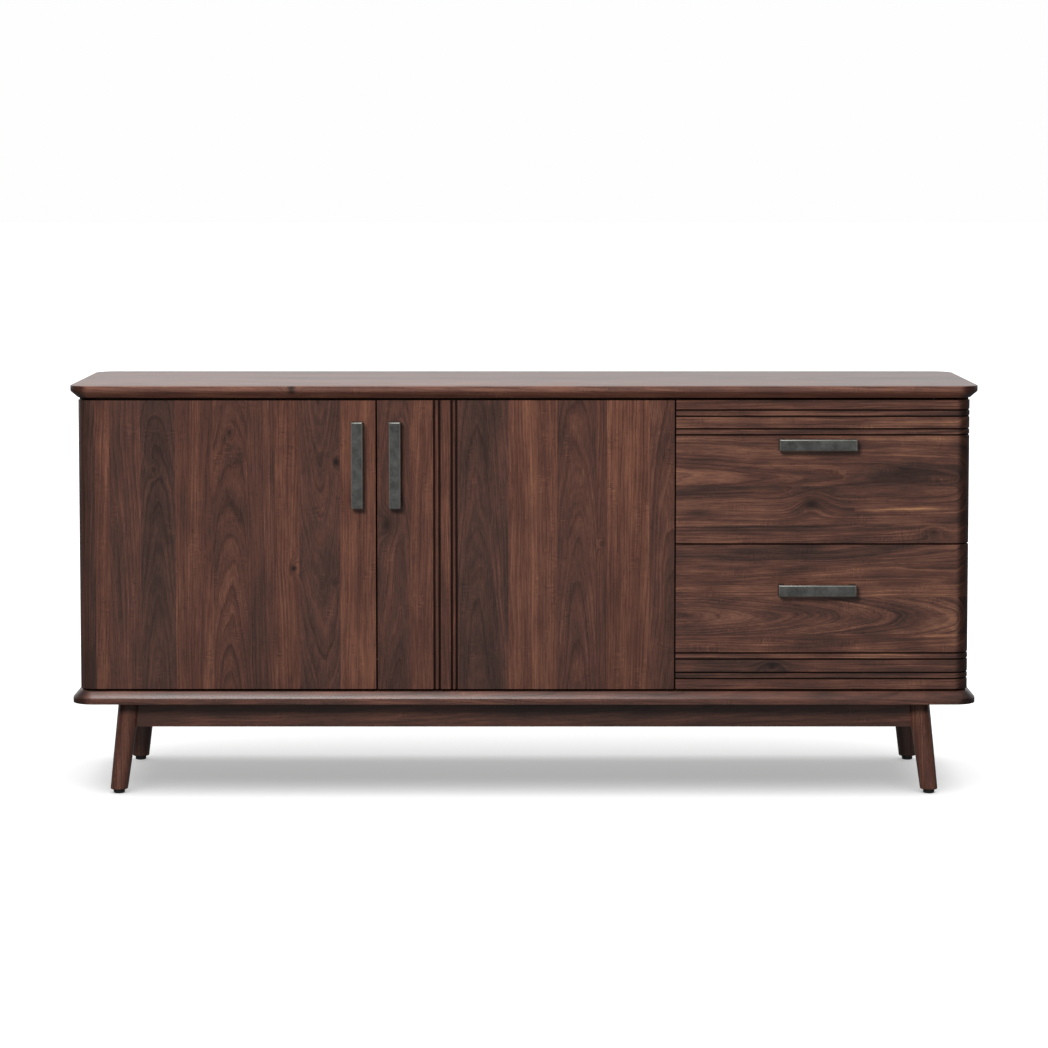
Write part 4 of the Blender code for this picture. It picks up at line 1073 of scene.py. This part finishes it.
# ------------------------------------------------------------------ the whole sideboard
board_pieces = add_boards()
add_side_panels()
add_plain_boards()
add_top_rail()
add_doors()
top_edge = span("drawer_upper_front")[1].z
bottom_edge = span("drawer_lower_front")[0].z
add_drawer("upper", [top_edge - drop for drop in UPPER_GROOVE_DROP],
           [(0.5420, 0.01, 0.3, 50 * MM, 55 * MM, 0.03, [(0.5290, 0.812, 8 * MM, 13 * MM, 0.6)],
             [(0.522, 0.45, 8 * MM, 110 * MM, -0.06), (0.528, 0.800, 12 * MM, 34 * MM, -0.08)]),
            (0.6200, 0.04, 0.3, 34 * MM, 50 * MM, 0.015, [(0.5850, 0.5690, 17 * MM, 27 * MM, 0.9)],
             [(0.5660, 0.345, 11 * MM, 36 * MM, -0.20), (0.5740, 0.5640, 16 * MM, 40 * MM, -0.17),
              (0.5740, 0.745, 4.0 * MM, 95 * MM, 0.50)]),
            (0.7215, 0.05, 0.3, -30 * MM, 50 * MM, 0.03, (),
             [(0.690, 0.42, 7 * MM, 90 * MM, 0.07), (0.645, 0.77, 12 * MM, 110 * MM, -0.10)]),
            (0.7336, 0.00, 0.1, 60 * MM, 60 * MM, 0.01), (0.7583, 0.04, 0.3, 60 * MM, 60 * MM, 0.01),
            (0.7707, -0.02, 0.2, 60 * MM, 60 * MM, 0.01), (0.8000, 0.07, 0.6, 60 * MM, 60 * MM, 0.01)])
add_drawer("lower", [bottom_edge + rise for rise in LOWER_GROOVE_RISE],
           [(0.2356, 0.02, 0.4, 60 * MM, 60 * MM, 0.01), (0.2477, -0.03, 0.2, 60 * MM, 60 * MM, 0.01),
            (0.2745, -0.07, 0.3, 50 * MM, 60 * MM, 0.01, [(0.2625, 0.4930, 9 * MM, 20 * MM, 1.0)],
             [(0.2590, 0.4930, 9 * MM, 40 * MM, -0.14), (0.2620, 0.640, 4 * MM, 60 * MM, 0.14)]),
            (0.2868, -0.03, 0.2, 60 * MM, 60 * MM, 0.01),
            (0.3250, 0.06, 0.5, 60 * MM, 60 * MM, 0.01, (), [(0.304, 0.36, 9 * MM, 80 * MM, 0.10)]),
            (0.3990, 0.02, 0.2, 0.0, 62 * MM, 0.110),
            (0.4620, 0.07, 0.4, 55 * MM, 60 * MM, 0.02, (),
             [(0.4500, 0.345, 4.5 * MM, 50 * MM, 0.26), (0.4450, 0.55, 7 * MM, 90 * MM, 0.05)]),
            (0.5100, -0.05, 0.2, 30 * MM, 52 * MM, 0.03, (),
             [(0.4820, 0.36, 10 * MM, 90 * MM, -0.07), (0.4810, 0.644, 9 * MM, 28 * MM, -0.15)])])
handle_pieces = []
for handle, handle_body, is_upright in (("handle_door_left", "door_left", True),
                                        ("handle_door_right", "door_right", True),
                                        ("handle_drawer_upper", "drawer_upper", False),
                                        ("handle_drawer_lower", "drawer_lower", False)):
    handle_pieces.append(add_handle(handle, handle_body, is_upright))
add_catch_poles()
add_shelf_pins()
for drawer_level in ("upper", "lower"):
    add_slide_fittings(drawer_level)
for panel_side in ("left", "right"):
    add_back_screws(panel_side)
add_legs()
add_aprons()
for node_name, node_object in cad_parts.items():
    finish = BLACK if node_name == "door_catch" else ZINC
    if node_name.startswith("pivot"):
        finish = BLACK_STEEL
    node_object.data.materials.clear()
    node_object.data.materials.append(finish)
studio_stage = add_stage()
add_lights(studio_stage, board_pieces, handle_pieces)
add_camera()
